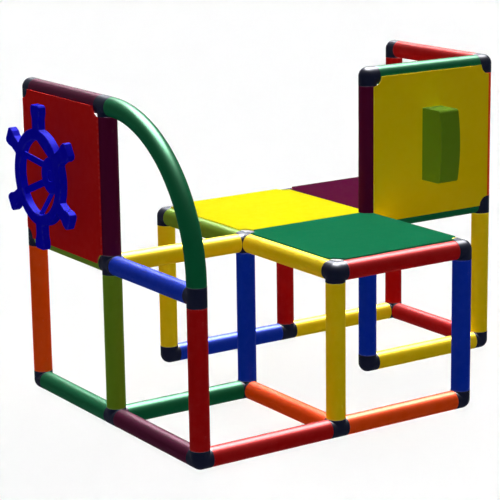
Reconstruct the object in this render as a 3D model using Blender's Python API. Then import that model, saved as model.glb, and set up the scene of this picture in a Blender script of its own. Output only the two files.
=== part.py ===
"""Play tower of plug-together tubes, with three platforms, two wall panels and a ship's wheel.

The frame stands on a square lattice. Tubes run from connector to connector, one pitch long between
centres. Columns and levels are counted from the near corner: the first index runs along +X, the second
along +Y, and level 0 lies on the floor. Lengths are in metres, and +Z is up.
"""

import math

import bmesh
import bpy
from mathutils import Matrix, Vector

# Frame: lattice, tubes and the play left between pieces that touch
PITCH = 0.400
TUBE_RADIUS = 0.025
TUBE_WALL = 0.003
FIT_GAP = 0.0003

# Connectors
SPIGOT_DEPTH = 0.035
SPIGOT_WALL = 0.004
HUB_WALL = 0.002
FOOT_FLAT_RADIUS = 0.012
FOOT_SHOULDER_LIFT = 0.010
FOOT_SHOULDER_STEP = 0.0025

# Quarter-circle tube, whose bore runs straight for a little more than the spigot's depth
SOCKET_SPARE = 0.002

# Platforms and wall panels
PANEL_THICKNESS = 0.004
PANEL_EDGE_GAP = 0.0005
NOTCH_MARGIN = 0.001
HOOK_THICKNESS = 0.0032
HOOK_WIDTH = 0.040
RIB_HEIGHT = 0.012
RIB_THICKNESS = 0.004
RIB_END_MARGIN = 0.004

# Ship's wheel, with heights measured outwards from the face of the helm panel
RIM_OUTER_RADIUS = 0.125
RIM_WIDTH = 0.029
RIM_THICKNESS = 0.021
RIM_STANDOFF = 0.0477
HANDLE_COUNT = 6
HANDLE_TIP_RADIUS = 0.186
HANDLE_WIDTH = 0.035
KNOB_WIDTH = 0.046
KNOB_LENGTH = 0.021
KNOB_SHOULDER = 0.015
KNOB_CHAMFER = 0.006
HUB_RADIUS = 0.048
HUB_THICKNESS = 0.017
SPOKE_WIDTH = 0.019
SPOKE_THICKNESS = 0.005
SPOKE_RIM_DEPTH = 0.007
SPOKE_EMBED = 0.006

# Wheel axle
AXLE_RADIUS = 0.008
AXLE_HEAD_RADIUS = 0.015
AXLE_HEAD_THICKNESS = 0.0055
AXLE_END_SPARE = 0.002
SPACER_RADIUS = 0.020
SPACER_LENGTH = 0.0135
NUT_THICKNESS = 0.010
NUT_RADIUS = 0.016

# Play block and the strip that holds it
BLOCK_WIDTH = 0.066
BLOCK_HEIGHT = 0.200
BLOCK_DEPTH = 0.076
BLOCK_CROWN = 0.008
BLOCK_ROUNDING = 0.010
BLOCK_WALL = 0.003
BLOCK_SIDE_OFFSET = -0.003
BLOCK_LIFT = 0.001
PIN_RADIUS = 0.004
PIN_WALL = 0.0035
PIN_DEPTH = 0.025
PIN_SPREAD = 0.120
STRIP_WIDTH = 0.024
STRIP_THICKNESS = 0.003
STRIP_END = 0.015

# Facets round a shape
TUBE_SIDES = 12
ARC_STEPS = 12
NOTCH_STEPS = 6
ROUND_SIDES = 24
CROWN_STEPS = 8
CORNER_STEPS = 3
RIM_ARC_STEPS = 3

# Sizes that follow from the ones above
BORE = TUBE_RADIUS - TUBE_WALL
SPIGOT = BORE - FIT_GAP
SPIGOT_BORE = SPIGOT - SPIGOT_WALL
TUBE_END = TUBE_RADIUS + FIT_GAP
HUB_FLOOR = TUBE_RADIUS + HUB_WALL
PANEL_BACK = TUBE_RADIUS + FIT_GAP
PANEL_FACE = PANEL_BACK + PANEL_THICKNESS
RUNNING_BORE = AXLE_RADIUS + FIT_GAP
HUB_BACK = FIT_GAP + SPACER_LENGTH + FIT_GAP
HUB_FRONT = HUB_BACK + HUB_THICKNESS
RIM_FRONT = RIM_STANDOFF + RIM_THICKNESS
RIM_INNER_RADIUS = RIM_OUTER_RADIUS - RIM_WIDTH

# The origin stands on the floor, under the middle of the object's box
LOW_X = -(PANEL_FACE + RIM_FRONT)
HIGH_X = 3 * PITCH + TUBE_RADIUS
ORIGIN = Vector(((LOW_X + HIGH_X) / 2, PITCH, -TUBE_RADIUS))

# Colours, as 8-bit sRGB, with roughness
COLOURS = {
    "red": (229, 26, 29, 0.35),
    "orange": (255, 101, 0, 0.35),
    "yellow": (253, 235, 8, 0.35),
    "green": (24, 130, 84, 0.35),
    "apple_green": (126, 171, 50, 0.35),
    "blue": (11, 59, 227, 0.35),
    "maroon": (98, 16, 59, 0.35),
    "wheel_blue": (20, 16, 214, 0.35),
    "navy": (24, 26, 48, 0.4),
    "grey": (92, 96, 104, 0.45),
}

# Tubes as (from column, to column, colour), level by level
BASE_RAILS = (
    ((0, 0), (1, 0), "red"),
    ((1, 0), (2, 0), "orange"),
    ((0, 0), (0, 1), "maroon"),
    ((0, 1), (0, 2), "green"),
    ((0, 1), (1, 1), "green"),
    ((1, 0), (1, 1), "orange"),
    ((1, 2), (2, 2), "blue"),
    ((2, 2), (3, 2), "yellow"),
    ((3, 1), (3, 2), "red"),
    ((2, 1), (3, 1), "yellow"),
)
PLATFORM_RAILS = (
    ((0, 0), (0, 1), "blue"),
    ((0, 1), (0, 2), "apple_green"),
    ((0, 1), (1, 1), "yellow"),
    ((1, 0), (1, 1), "yellow"),
    ((1, 0), (2, 0), "red"),
    ((1, 1), (1, 2), "apple_green"),
    ((2, 1), (3, 1), "green"),
    ((2, 0), (2, 1), "yellow"),
    ((1, 2), (2, 2), "blue"),
    ((2, 2), (3, 2), "red"),
    ((3, 1), (3, 2), "orange"),
    ((1, 1), (2, 1), "green"),
    ((2, 1), (2, 2), "blue"),
)
TOP_RAILS = (
    ((0, 1), (0, 2), "maroon"),
    ((2, 1), (3, 1), "green"),
    ((3, 1), (3, 2), "red"),
)
LOWER_POSTS = {
    (0, 0): "red",
    (0, 1): "apple_green",
    (0, 2): "orange",
    (1, 0): "yellow",
    (2, 0): "blue",
    (1, 1): "blue",
    (1, 2): "yellow",
    (2, 2): "red",
    (3, 2): "red",
    (2, 1): "blue",
    (3, 1): "yellow",
}
UPPER_POSTS = {(0, 1): "maroon", (0, 2): "red", (2, 1): "maroon", (3, 1): "orange", (3, 2): "red"}
RAILS = (BASE_RAILS, PLATFORM_RAILS, TOP_RAILS)
ARC_FOOT = ((0, 0), 1)
ARC_TOP = ((0, 1), 2)

UP = Vector((0, 0, 1))
DIRECTIONS = [sign * Vector(axis) for axis in ((1, 0, 0), (0, 1, 0), (0, 0, 1)) for sign in (1, -1)]


def lattice(column, level):
    """The centre of a connector, in the object's own frame."""
    return Vector((column[0] * PITCH, column[1] * PITCH, level * PITCH)) - ORIGIN


def material(name):
    """The plastic of one colour, made once."""
    if name in bpy.data.materials:
        return bpy.data.materials[name]
    red, green, blue, roughness = COLOURS[name]
    made = bpy.data.materials.new(name)
    made.use_nodes = True
    shader = made.node_tree.nodes["Principled BSDF"]
    linear = [((c / 255 + 0.055) / 1.055) ** 2.4 if c > 10 else c / 255 / 12.92 for c in (red, green, blue)]
    shader.inputs["Base Color"].default_value = (*linear, 1)
    shader.inputs["Roughness"].default_value = roughness
    shader.inputs["Metallic"].default_value = 0
    return made


def add_object(name, mesh, colour, place):
    """Put a mesh in the scene under a name, in a colour, at a place given by a matrix."""
    made = bpy.data.objects.new(name, mesh)
    bpy.context.scene.collection.objects.link(made)
    made.matrix_world = place
    if not mesh.materials:
        mesh.materials.append(None)
    made.material_slots[0].link = "OBJECT"
    made.material_slots[0].material = material(colour)
    return made


def finish_mesh(bm, name):
    """Turn every face outwards and store the shape as a mesh, smooth across shallow angles."""
    bmesh.ops.recalc_face_normals(bm, faces=bm.faces)
    mesh = bpy.data.meshes.new(name)
    bm.to_mesh(mesh)
    bm.free()
    mesh.shade_smooth()
    mesh.set_sharp_from_angle(angle=math.radians(40))
    return mesh


def add_helper(name, mesh, host):
    """Add a shape that only joins or cuts its host, in the host's own frame."""
    made = bpy.data.objects.new(name, mesh)
    bpy.context.scene.collection.objects.link(made)
    made.matrix_world = host.matrix_world
    made.hide_render = True
    made.display_type = "WIRE"
    return made


def combine(host, mesh, operation):
    """Join a mesh to its host, or cut it out of it, with a Boolean, and return the helper."""
    modifier = host.modifiers.new(mesh.name, "BOOLEAN")
    modifier.operation = operation
    modifier.solver = "EXACT"
    modifier.object = add_helper(f"{host.name}.{mesh.name}", mesh, host)
    return modifier.object


def ring_points(centre, axis_u, axis_v, flat_radius, sides=TUBE_SIDES):
    """Corners of a regular polygon whose flats lie at flat_radius, with one flat across each axis."""
    corner_radius = flat_radius / math.cos(math.pi / sides)
    turns = [2 * math.pi * (i + 0.5) / sides for i in range(sides)]
    return [centre + corner_radius * (math.cos(t) * axis_u + math.sin(t) * axis_v) for t in turns]


def bridge(bm, first, second):
    """Join two rings of vertices, corner to corner, with a band of quads."""
    count = len(first)
    for i in range(count):
        bm.faces.new((first[i], first[(i + 1) % count], second[(i + 1) % count], second[i]))


def add_rings(bm, rings, closed):
    """Skin a list of rings: closed joins the last to the first, otherwise both ends are capped."""
    placed = [[bm.verts.new(point) for point in ring] for ring in rings]
    for first, second in zip(placed, placed[1:]):
        bridge(bm, first, second)
    if closed:
        bridge(bm, placed[-1], placed[0])
    else:
        bm.faces.new(placed[0])
        bm.faces.new(placed[-1])


def lathe_mesh(name, profile, closed, sides=ROUND_SIDES):
    """Turn a profile of (radius, height) points round +Z: closed for a ring, else capped at its ends."""
    bm = bmesh.new()
    rings = []
    for radius, height in profile:
        turns = [2 * math.pi * i / sides for i in range(sides)]
        rings.append([Vector((radius * math.cos(t), radius * math.sin(t), height)) for t in turns])
    add_rings(bm, rings, closed)
    return finish_mesh(bm, name)


def prism_mesh(name, outline, low, high):
    """Extrude a flat outline of (x, y) points between two heights."""
    bm = bmesh.new()
    add_rings(bm, [[Vector((x, y, z)) for x, y in outline] for z in (low, high)], closed=False)
    return finish_mesh(bm, name)


def tube_mesh():
    """A straight tube that fits between two connectors, lying along Z about its middle."""
    half = PITCH / 2 - TUBE_END
    x, y = Vector((1, 0, 0)), Vector((0, 1, 0))
    stations = ((-half, TUBE_RADIUS), (half, TUBE_RADIUS), (half, BORE), (-half, BORE))
    bm = bmesh.new()
    add_rings(bm, [ring_points(z * UP, x, y, radius) for z, radius in stations], closed=True)
    return finish_mesh(bm, "straight_tube")


def arc_mesh():
    """The quarter-circle tube, in the YZ plane, with its foot end at the lattice point of its foot.

    The outside follows one circle. The bore has a straight socket at each end for the spigot, and
    follows the circle between the sockets.
    """
    radius = PITCH - TUBE_END
    centre = Vector((0, radius, TUBE_END))
    socket = SPIGOT_DEPTH + SOCKET_SPARE
    first = math.asin((socket + SOCKET_SPARE) / radius)
    side = Vector((1, 0, 0))

    def on_circle(turn, flat_radius):
        outward = Vector((0, -math.cos(turn), math.sin(turn)))
        return ring_points(centre + radius * outward, side, outward, flat_radius)

    quarter = math.pi / 2
    outer = [on_circle(quarter * i / ARC_STEPS, TUBE_RADIUS) for i in range(ARC_STEPS + 1)]
    inner = [on_circle(first + (quarter - 2 * first) * i / ARC_STEPS, BORE) for i in range(ARC_STEPS + 1)]
    foot, foot_out = Vector((0, 0, TUBE_END)), Vector((0, -1, 0))
    top, top_out = Vector((0, radius, PITCH)), UP
    inner.insert(0, ring_points(foot + socket * UP, side, foot_out, BORE))
    inner.insert(0, ring_points(foot, side, foot_out, BORE))
    inner.append(ring_points(top - socket * Vector((0, 1, 0)), side, top_out, BORE))
    inner.append(ring_points(top, side, top_out, BORE))
    bm = bmesh.new()
    add_rings(bm, outer + inner[::-1], closed=True)
    return finish_mesh(bm, "arc_tube")


def arms_at(column, level):
    """The directions in which a tube leaves a connector."""
    found = []
    for start, end, _ in RAILS[level]:
        step = Vector((end[0] - start[0], end[1] - start[1], 0))
        if start == column:
            found.append(step)
        if end == column:
            found.append(-step)
    if (level == 0 and column in LOWER_POSTS) or (level == 1 and column in UPPER_POSTS):
        found.append(UP)
    if level == 1 or (level == 2 and column in UPPER_POSTS):
        found.append(-UP)
    if (column, level) == ARC_FOOT:
        found.append(UP)
    if (column, level) == ARC_TOP:
        found.append(Vector((0, -1, 0)))
    return [tuple(round(c) for c in arm) for arm in found]


def across(axis):
    """Two unit vectors square to an axis and to each other."""
    side = Vector((0, 0, 1)) if abs(axis.z) < 0.5 else Vector((1, 0, 0))
    return side, axis.cross(side)


def add_hub(bm, centre, arms, foot):
    """Add a connector's hub: full width where a tube leaves, and rounded off where none does.

    Returns the open rim of each arm, by direction, as an ordered ring of vertices.
    """
    hub = bmesh.new()
    for direction in DIRECTIONS:
        u, v = across(direction)
        if tuple(round(c) for c in direction) in arms:
            rings = [(TUBE_RADIUS, TUBE_RADIUS)]
        elif foot and direction.z < -0.5:
            shoulder = (TUBE_RADIUS - FOOT_SHOULDER_LIFT, TUBE_RADIUS - FOOT_SHOULDER_STEP)
            rings = [(TUBE_RADIUS, FOOT_FLAT_RADIUS), shoulder]
        else:
            turns = (math.pi / TUBE_SIDES, 3 * math.pi / TUBE_SIDES)
            corner = TUBE_RADIUS / math.cos(turns[0])
            rings = [(corner * math.cos(t), corner * math.sin(t)) for t in turns]
        for distance, flat_radius in rings:
            for point in ring_points(distance * direction, u, v, flat_radius):
                hub.verts.new(point)
    bmesh.ops.remove_doubles(hub, verts=hub.verts, dist=1e-6)
    hull = bmesh.ops.convex_hull(hub, input=hub.verts, use_existing_faces=False)
    spare = {v for v in hull["geom_interior"] + hull["geom_unused"] if isinstance(v, bmesh.types.BMVert)}
    bmesh.ops.delete(hub, geom=list(spare), context="VERTS")
    bmesh.ops.dissolve_limit(hub, angle_limit=math.radians(0.5), verts=hub.verts, edges=hub.edges)

    copies = {v: bm.verts.new(v.co + centre) for v in hub.verts}
    rims = {}
    for face in hub.faces:
        ring = [copies[v] for v in face.verts]
        facing = tuple(round(c, 3) for c in face.normal)
        if len(ring) == TUBE_SIDES and facing in arms:
            rims[tuple(round(c) for c in facing)] = ring
        else:
            bm.faces.new(ring)
    hub.free()
    return rims


def add_run(bm, rim, centre, axis, stations):
    """Carry an arm's open rim through (distance, flat radius) stations and close the last one."""
    spokes = [v.co - centre - axis * (v.co - centre).dot(axis) for v in rim]
    previous = rim
    for distance, flat_radius in stations:
        scale = flat_radius / TUBE_RADIUS
        ring = [bm.verts.new(centre + axis * distance + scale * spoke) for spoke in spokes]
        bridge(bm, previous, ring)
        previous = ring
    bm.faces.new(previous)


def spigot_stations():
    """A spigot steps in from the arm to the tube's bore, and is hollow from its mouth to the hub."""
    tip = TUBE_RADIUS + SPIGOT_DEPTH
    return ((TUBE_RADIUS, SPIGOT), (tip, SPIGOT), (tip, SPIGOT_BORE), (HUB_FLOOR, SPIGOT_BORE))


def add_spigots(bm, rims, centre):
    """Give every rim that is still open its spigot."""
    for direction, rim in rims.items():
        add_run(bm, rim, centre, Vector(direction), spigot_stations())


def leg_mesh(column):
    """A lower post with the floor connector that it is moulded to, open at the top."""
    bm = bmesh.new()
    origin = Vector((0, 0, 0))
    rims = add_hub(bm, origin, arms_at(column, 0), foot=True)
    end = PITCH - TUBE_END
    add_run(bm, rims.pop((0, 0, 1)), origin, UP, ((end, TUBE_RADIUS), (end, BORE), (HUB_FLOOR, BORE)))
    add_spigots(bm, rims, origin)
    return finish_mesh(bm, f"leg_{column[0]}_{column[1]}")


def upright_mesh(column):
    """An upper post with the connectors at both its ends, bored from the lower spigot's mouth."""
    bm = bmesh.new()
    low, high = Vector((0, 0, 0)), PITCH * UP
    low_rims = add_hub(bm, low, arms_at(column, 1), foot=False)
    high_rims = add_hub(bm, high, arms_at(column, 2), foot=False)
    below = low_rims.pop((0, 0, 1))
    above = high_rims.pop((0, 0, -1))
    partner = {(round(v.co.x, 5), round(v.co.y, 5)): v for v in above}
    bridge(bm, below, [partner[(round(v.co.x, 5), round(v.co.y, 5))] for v in below])
    tip = TUBE_RADIUS + SPIGOT_DEPTH
    through = (
        (TUBE_RADIUS, SPIGOT),
        (tip, SPIGOT),
        (tip, SPIGOT_BORE),
        (-HUB_FLOOR, SPIGOT_BORE),
        (-HUB_FLOOR, BORE),
        (HUB_FLOOR - PITCH, BORE),
    )
    add_run(bm, low_rims.pop((0, 0, -1)), low, -UP, through)
    add_spigots(bm, low_rims, low)
    add_spigots(bm, high_rims, high)
    return finish_mesh(bm, f"upright_{column[0]}_{column[1]}")


def connector_mesh(column):
    """A connector at platform height that carries no upper post."""
    bm = bmesh.new()
    origin = Vector((0, 0, 0))
    add_spigots(bm, add_hub(bm, origin, arms_at(column, 1), foot=False), origin)
    return finish_mesh(bm, f"connector_{column[0]}_{column[1]}")


def build_frame():
    """Legs, uprights, connectors, straight tubes and the quarter-circle tube."""
    for column, colour in LOWER_POSTS.items():
        place = Matrix.Translation(lattice(column, 0))
        add_object(f"leg_{column[0]}_{column[1]}", leg_mesh(column), colour, place)
    for column in LOWER_POSTS:
        place = Matrix.Translation(lattice(column, 1))
        if column in UPPER_POSTS:
            colour = UPPER_POSTS[column]
            add_object(f"upright_{column[0]}_{column[1]}", upright_mesh(column), colour, place)
        else:
            add_object(f"connector_{column[0]}_{column[1]}", connector_mesh(column), "navy", place)

    tube = tube_mesh()
    for level, kind in enumerate(("base_rail", "platform_rail", "top_rail")):
        for start, end, colour in RAILS[level]:
            middle = (lattice(start, level) + lattice(end, level)) / 2
            along_x = start[1] == end[1]
            turn = Matrix.Rotation(math.pi / 2, 4, "Y" if along_x else "X")
            name = f"{kind}_{start[0]}{start[1]}_to_{end[0]}{end[1]}"
            add_object(name, tube, colour, Matrix.Translation(middle) @ turn)
    add_object("arc_tube", arc_mesh(), "green", Matrix.Translation(lattice(*ARC_FOOT)))


def panel_outline():
    """A square plate about the origin, with a round notch at each corner for the connectors."""
    half = PITCH / 2 - PANEL_EDGE_GAP
    corner = TUBE_RADIUS / math.cos(math.pi / TUBE_SIDES)
    reach = corner + NOTCH_MARGIN
    outline = []
    for quarter in range(4):
        turn = Matrix.Rotation(-quarter * math.pi / 2, 2)
        first = math.acos(PANEL_EDGE_GAP / reach)
        last = math.asin(PANEL_EDGE_GAP / reach)
        for i in range(NOTCH_STEPS + 1):
            angle = math.pi + last + (first - last) * i / NOTCH_STEPS
            point = Vector((PITCH / 2 + reach * math.cos(angle), PITCH / 2 + reach * math.sin(angle)))
            point.x = min(point.x, half)
            point.y = min(point.y, half)
            outline.append(turn @ point)
    return [(point.x, point.y) for point in outline]


def hook_mesh():
    """Four hooks on a panel's back, two to each side, that grip the inner half of the side's tubes."""
    flat_in, flat_out = PANEL_BACK, PANEL_BACK + HOOK_THICKNESS
    turns = [math.radians(15 + 30 * i) for i in range(5)]
    corner = 1 / math.cos(math.radians(15))
    inner = [(flat_in * corner * math.sin(t), flat_in * corner * math.cos(t)) for t in turns]
    outer = [(flat_out * corner * math.sin(t), flat_out * corner * math.cos(t)) for t in turns[:0:-1]]
    embed = PANEL_THICKNESS / 2
    root_slope = (inner[1][0] - inner[0][0]) / (inner[0][1] - inner[1][1])
    root = (inner[0][0] - embed * root_slope, inner[0][1] + embed)
    profile = [root] + inner[1:] + outer + [(outer[-1][0], root[1])]
    bm = bmesh.new()
    for side in (1, -1):
        for middle in (-PITCH / 4, PITCH / 4):
            rings = []
            for y in (middle - HOOK_WIDTH / 2, middle + HOOK_WIDTH / 2):
                rings.append([Vector((side * (PITCH / 2 - reach), y, height)) for reach, height in profile])
            add_rings(bm, rings, closed=False)
    return finish_mesh(bm, "hooks")


def rib_mesh():
    """A cross of stiffening ribs under a platform."""
    reach = PITCH / 2 - PANEL_BACK - HOOK_THICKNESS - RIB_END_MARGIN
    half = RIB_THICKNESS / 2
    corners = []
    for quarter in range(4):
        turn = Matrix.Rotation(quarter * math.pi / 2, 2)
        corners += [turn @ Vector(p) for p in ((reach, -half), (reach, half), (half, half))]
    low = PANEL_BACK - RIB_HEIGHT
    return prism_mesh("ribs", [(p.x, p.y) for p in corners], low, PANEL_BACK + PANEL_THICKNESS / 2)


def add_panel(name, colour, place, ribbed):
    """A plate on the outer tangent of its tubes, facing its own +Z, with hooks behind it."""
    plate = prism_mesh(name, panel_outline(), PANEL_BACK, PANEL_FACE)
    panel = add_object(name, plate, colour, place)
    combine(panel, hook_mesh(), "UNION")
    if ribbed:
        combine(panel, rib_mesh(), "UNION")
    return panel


def cell_place(corner, level, right, up):
    """The frame of a panel in a lattice cell: the cell's middle, with the panel's own X and Y axes."""
    right, up = Vector(right), Vector(up)
    middle = lattice(corner, level) + (right + up) * PITCH / 2
    return Matrix.Translation(middle) @ Matrix((right, up, right.cross(up))).transposed().to_4x4()


def build_platforms():
    """The three platforms, side by side at platform height."""
    for name, corner, colour in (
        ("platform_front", (1, 0), "green"),
        ("platform_middle", (1, 1), "yellow"),
        ("platform_rear", (2, 1), "maroon"),
    ):
        add_panel(name, colour, cell_place(corner, 1, (1, 0, 0), (0, 1, 0)), ribbed=True)


def handle_outline():
    """Half of one wheel handle, as (distance out, distance aside) from the rim to the tip."""
    half, knob = HANDLE_WIDTH / 2, KNOB_WIDTH / 2
    knob_base = HANDLE_TIP_RADIUS - KNOB_LENGTH
    return [
        (math.sqrt(RIM_OUTER_RADIUS**2 - half**2), half),
        (knob_base - KNOB_SHOULDER, half),
        (knob_base, knob),
        (HANDLE_TIP_RADIUS - KNOB_CHAMFER, knob),
        (HANDLE_TIP_RADIUS, knob - KNOB_CHAMFER),
    ]


def rim_mesh():
    """The wheel's ring and handles in one flat piece, with the first handle straight up."""
    half_turn = math.asin(HANDLE_WIDTH / 2 / RIM_OUTER_RADIUS)
    step = 2 * math.pi / HANDLE_COUNT
    rising = [(out, -aside) for out, aside in handle_outline()]
    falling = [(out, aside) for out, aside in handle_outline()[::-1]]
    outline = []
    for number in range(HANDLE_COUNT):
        turn = number * step
        ahead = Vector((math.sin(turn), math.cos(turn)))
        aside = Vector((math.cos(turn), -math.sin(turn)))
        outline += [out * ahead + off * aside for out, off in rising + falling]
        for i in range(1, RIM_ARC_STEPS):
            angle = turn + half_turn + (step - 2 * half_turn) * i / RIM_ARC_STEPS
            outline.append(RIM_OUTER_RADIUS * Vector((math.sin(angle), math.cos(angle))))
    turns = [2 * math.pi * i / ROUND_SIDES for i in range(ROUND_SIDES)]
    hole = [RIM_INNER_RADIUS * Vector((math.sin(t), math.cos(t))) for t in turns]
    bm = bmesh.new()
    loops = []
    for points in (outline, hole):
        rings = [[bm.verts.new((p.x, p.y, z)) for p in points] for z in (RIM_STANDOFF, RIM_FRONT)]
        bridge(bm, *rings)
        loops.append(rings)
    for layer in (0, 1):
        edges = []
        for rings in loops:
            ring = rings[layer]
            edges += [bm.edges.get((ring[i - 1], ring[i])) for i in range(len(ring))]
        bmesh.ops.triangle_fill(bm, edges=edges, use_beauty=True)
    return finish_mesh(bm, "steering_wheel")


def spoke_mesh():
    """The wheel's spokes: flat bars that slope back from the ring to the hub."""
    outer_radius = RIM_INNER_RADIUS + SPOKE_EMBED
    inner_radius = HUB_RADIUS - SPOKE_EMBED
    top_at_rim, top_at_hub = RIM_FRONT - SPOKE_RIM_DEPTH, HUB_FRONT - FIT_GAP
    slope = (top_at_rim - top_at_hub) / (RIM_INNER_RADIUS - HUB_RADIUS)
    half = SPOKE_WIDTH / 2
    bm = bmesh.new()
    for number in range(HANDLE_COUNT):
        turn = Matrix.Rotation(-number * 2 * math.pi / HANDLE_COUNT, 3, "Z")
        rings = []
        for radius, rise in (
            (outer_radius, top_at_rim + slope * SPOKE_EMBED),
            (inner_radius, top_at_hub - slope * SPOKE_EMBED),
        ):
            corners = ((half, 0), (-half, 0), (-half, -SPOKE_THICKNESS), (half, -SPOKE_THICKNESS))
            rings.append([turn @ Vector((x, radius, rise + drop)) for x, drop in corners])
        add_rings(bm, rings, closed=False)
    return finish_mesh(bm, "spokes")


def wheel_hub_mesh():
    """The hub, with a running bore and a recess that takes the bolt's head."""
    recess = HUB_FRONT - AXLE_HEAD_THICKNESS - FIT_GAP
    head = AXLE_HEAD_RADIUS + FIT_GAP
    profile = (
        (RUNNING_BORE, HUB_BACK),
        (HUB_RADIUS, HUB_BACK),
        (HUB_RADIUS, HUB_FRONT),
        (head, HUB_FRONT),
        (head, recess),
        (RUNNING_BORE, recess),
    )
    return lathe_mesh("hub", profile, closed=True)


def add_axle_ring(name, radius, low, high, place):
    """A plain ring that the axle passes through."""
    profile = ((RUNNING_BORE, low), (radius, low), (radius, high), (RUNNING_BORE, high))
    add_object(name, lathe_mesh(name, profile, closed=True), "navy", place)


def build_helm():
    """The red panel, and the wheel that turns on it with its axle."""
    back = cell_place((0, 2), 1, (0, -1, 0), (0, 0, 1))
    panel = add_panel("helm_panel", "red", back, ribbed=False)
    bore = ((RUNNING_BORE, PANEL_BACK - PANEL_THICKNESS), (RUNNING_BORE, PANEL_FACE + PANEL_THICKNESS))
    combine(panel, lathe_mesh("axle_hole", bore, closed=False), "DIFFERENCE")

    face = back @ Matrix.Translation((0, 0, PANEL_FACE))
    wheel = add_object("steering_wheel", rim_mesh(), "wheel_blue", face)
    combine(wheel, wheel_hub_mesh(), "UNION")
    combine(wheel, spoke_mesh(), "UNION")

    nut_top = -PANEL_THICKNESS - FIT_GAP
    nut_end = nut_top - NUT_THICKNESS
    head_back = HUB_FRONT - AXLE_HEAD_THICKNESS
    bolt = (
        (AXLE_RADIUS, nut_end - AXLE_END_SPARE),
        (AXLE_RADIUS, head_back),
        (AXLE_HEAD_RADIUS, head_back),
        (AXLE_HEAD_RADIUS, HUB_FRONT),
    )
    add_object("wheel_axle_bolt", lathe_mesh("wheel_axle_bolt", bolt, closed=False), "wheel_blue", face)
    add_axle_ring("wheel_spacer", SPACER_RADIUS, FIT_GAP, FIT_GAP + SPACER_LENGTH, face)
    add_axle_ring("wheel_lock_nut", NUT_RADIUS, nut_end, nut_top, face)


def block_profile(inset, back):
    """The block's side outline as (height, depth) points, moved inwards by a wall."""
    half = BLOCK_HEIGHT / 2 - inset
    corner = BLOCK_ROUNDING - inset
    depth = BLOCK_DEPTH - inset
    points = [(-half, back), (half, back)]
    for i in range(CORNER_STEPS + 1):
        turn = math.pi / 2 * i / CORNER_STEPS
        points.append((half - corner + corner * math.cos(turn), depth - corner + corner * math.sin(turn)))
    flat = half - corner
    for i in range(1, CROWN_STEPS):
        at = flat - 2 * flat * i / CROWN_STEPS
        points.append((at, depth + BLOCK_CROWN * (1 - (at / flat) ** 2)))
    for i in range(CORNER_STEPS, -1, -1):
        turn = math.pi / 2 * i / CORNER_STEPS
        points.append((-half + corner - corner * math.cos(turn), depth - corner + corner * math.sin(turn)))
    return points


def block_body_mesh(name, inset, back):
    """The block's outside, or with an inset the hollow in it, standing on its back."""
    half = BLOCK_WIDTH / 2 - inset
    bm = bmesh.new()
    rings = [[Vector((x, y, z)) for y, z in block_profile(inset, back)] for x in (-half, half)]
    add_rings(bm, rings, closed=False)
    return finish_mesh(bm, name)


def pin_meshes(name, radius, low, high):
    """A pair of round pins, one above the other."""
    turns = [2 * math.pi * i / TUBE_SIDES for i in range(TUBE_SIDES)]
    circle = [radius * Vector((math.cos(t), math.sin(t), 0)) for t in turns]
    bm = bmesh.new()
    for middle in (-PIN_SPREAD / 2, PIN_SPREAD / 2):
        rings = [[point + Vector((0, middle, height)) for point in circle] for height in (low, high)]
        add_rings(bm, rings, closed=False)
    return finish_mesh(bm, name)


def build_block_wall():
    """The yellow panel, the hollow block on its face and the strip behind it that holds the block."""
    back = cell_place((2, 1), 1, (1, 0, 0), (0, 0, 1))
    pin_hole = PIN_RADIUS + FIT_GAP
    shift = Matrix.Translation((BLOCK_SIDE_OFFSET, BLOCK_LIFT, 0))
    panel = add_panel("block_panel", "yellow", back, ribbed=False)
    holes = pin_meshes("pin_holes", pin_hole, PANEL_BACK - PANEL_THICKNESS, PANEL_FACE + PANEL_THICKNESS)
    holes.transform(shift)
    combine(panel, holes, "DIFFERENCE")

    face = back @ Matrix.Translation((0, 0, PANEL_FACE)) @ shift
    block = add_object("play_block", block_body_mesh("play_block", 0, FIT_GAP), "apple_green", face)
    hollow = combine(block, block_body_mesh("hollow", BLOCK_WALL, -BLOCK_WALL), "DIFFERENCE")
    past_crown = BLOCK_DEPTH + BLOCK_CROWN + BLOCK_WALL
    combine(hollow, pin_meshes("bosses", pin_hole + PIN_WALL, -2 * BLOCK_WALL, past_crown), "DIFFERENCE")
    combine(block, pin_meshes("boss_bores", pin_hole, -BLOCK_WALL, PIN_DEPTH + FIT_GAP), "DIFFERENCE")

    strip_top = -PANEL_THICKNESS - FIT_GAP
    strip_low = strip_top - STRIP_THICKNESS
    half_x, half_y = STRIP_WIDTH / 2, PIN_SPREAD / 2 + STRIP_END
    outline = ((half_x, -half_y), (half_x, half_y), (-half_x, half_y), (-half_x, -half_y))
    plate = prism_mesh("block_fixing_strip", outline, strip_low, strip_top)
    strip = add_object("block_fixing_strip", plate, "grey", face)
    combine(strip, pin_meshes("pins", PIN_RADIUS, strip_low + STRIP_THICKNESS / 2, PIN_DEPTH), "UNION")


def main():
    """Build the tower in an empty scene."""
    for old in list(bpy.data.objects):
        bpy.data.objects.remove(old)
    build_frame()
    build_platforms()
    build_helm()
    build_block_wall()


main()
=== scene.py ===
"""Looks of the play tower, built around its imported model.

The tower is shown as the separate mouldings that the real one is plugged together from: straight tubes
and a bent one, connectors with spigots, clip-on platforms and walls, a ship's wheel on its axle and a
play block. Every piece is in metres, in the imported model's frame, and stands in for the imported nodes
that hold its space. Outlines run anticlockwise round their material, and holes clockwise.
"""

import logging
from collections.abc import Iterable, Iterator, Sequence
from dataclasses import dataclass
from enum import Enum
from math import acos, asin, cos, pi, radians, sin, sqrt, tan

import bmesh
import bpy
from bpy.types import ID, Material, Mesh, Node, NodeSocket, NodeTree, Object, bpy_prop_collection
from mathutils import Matrix, Vector

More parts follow.
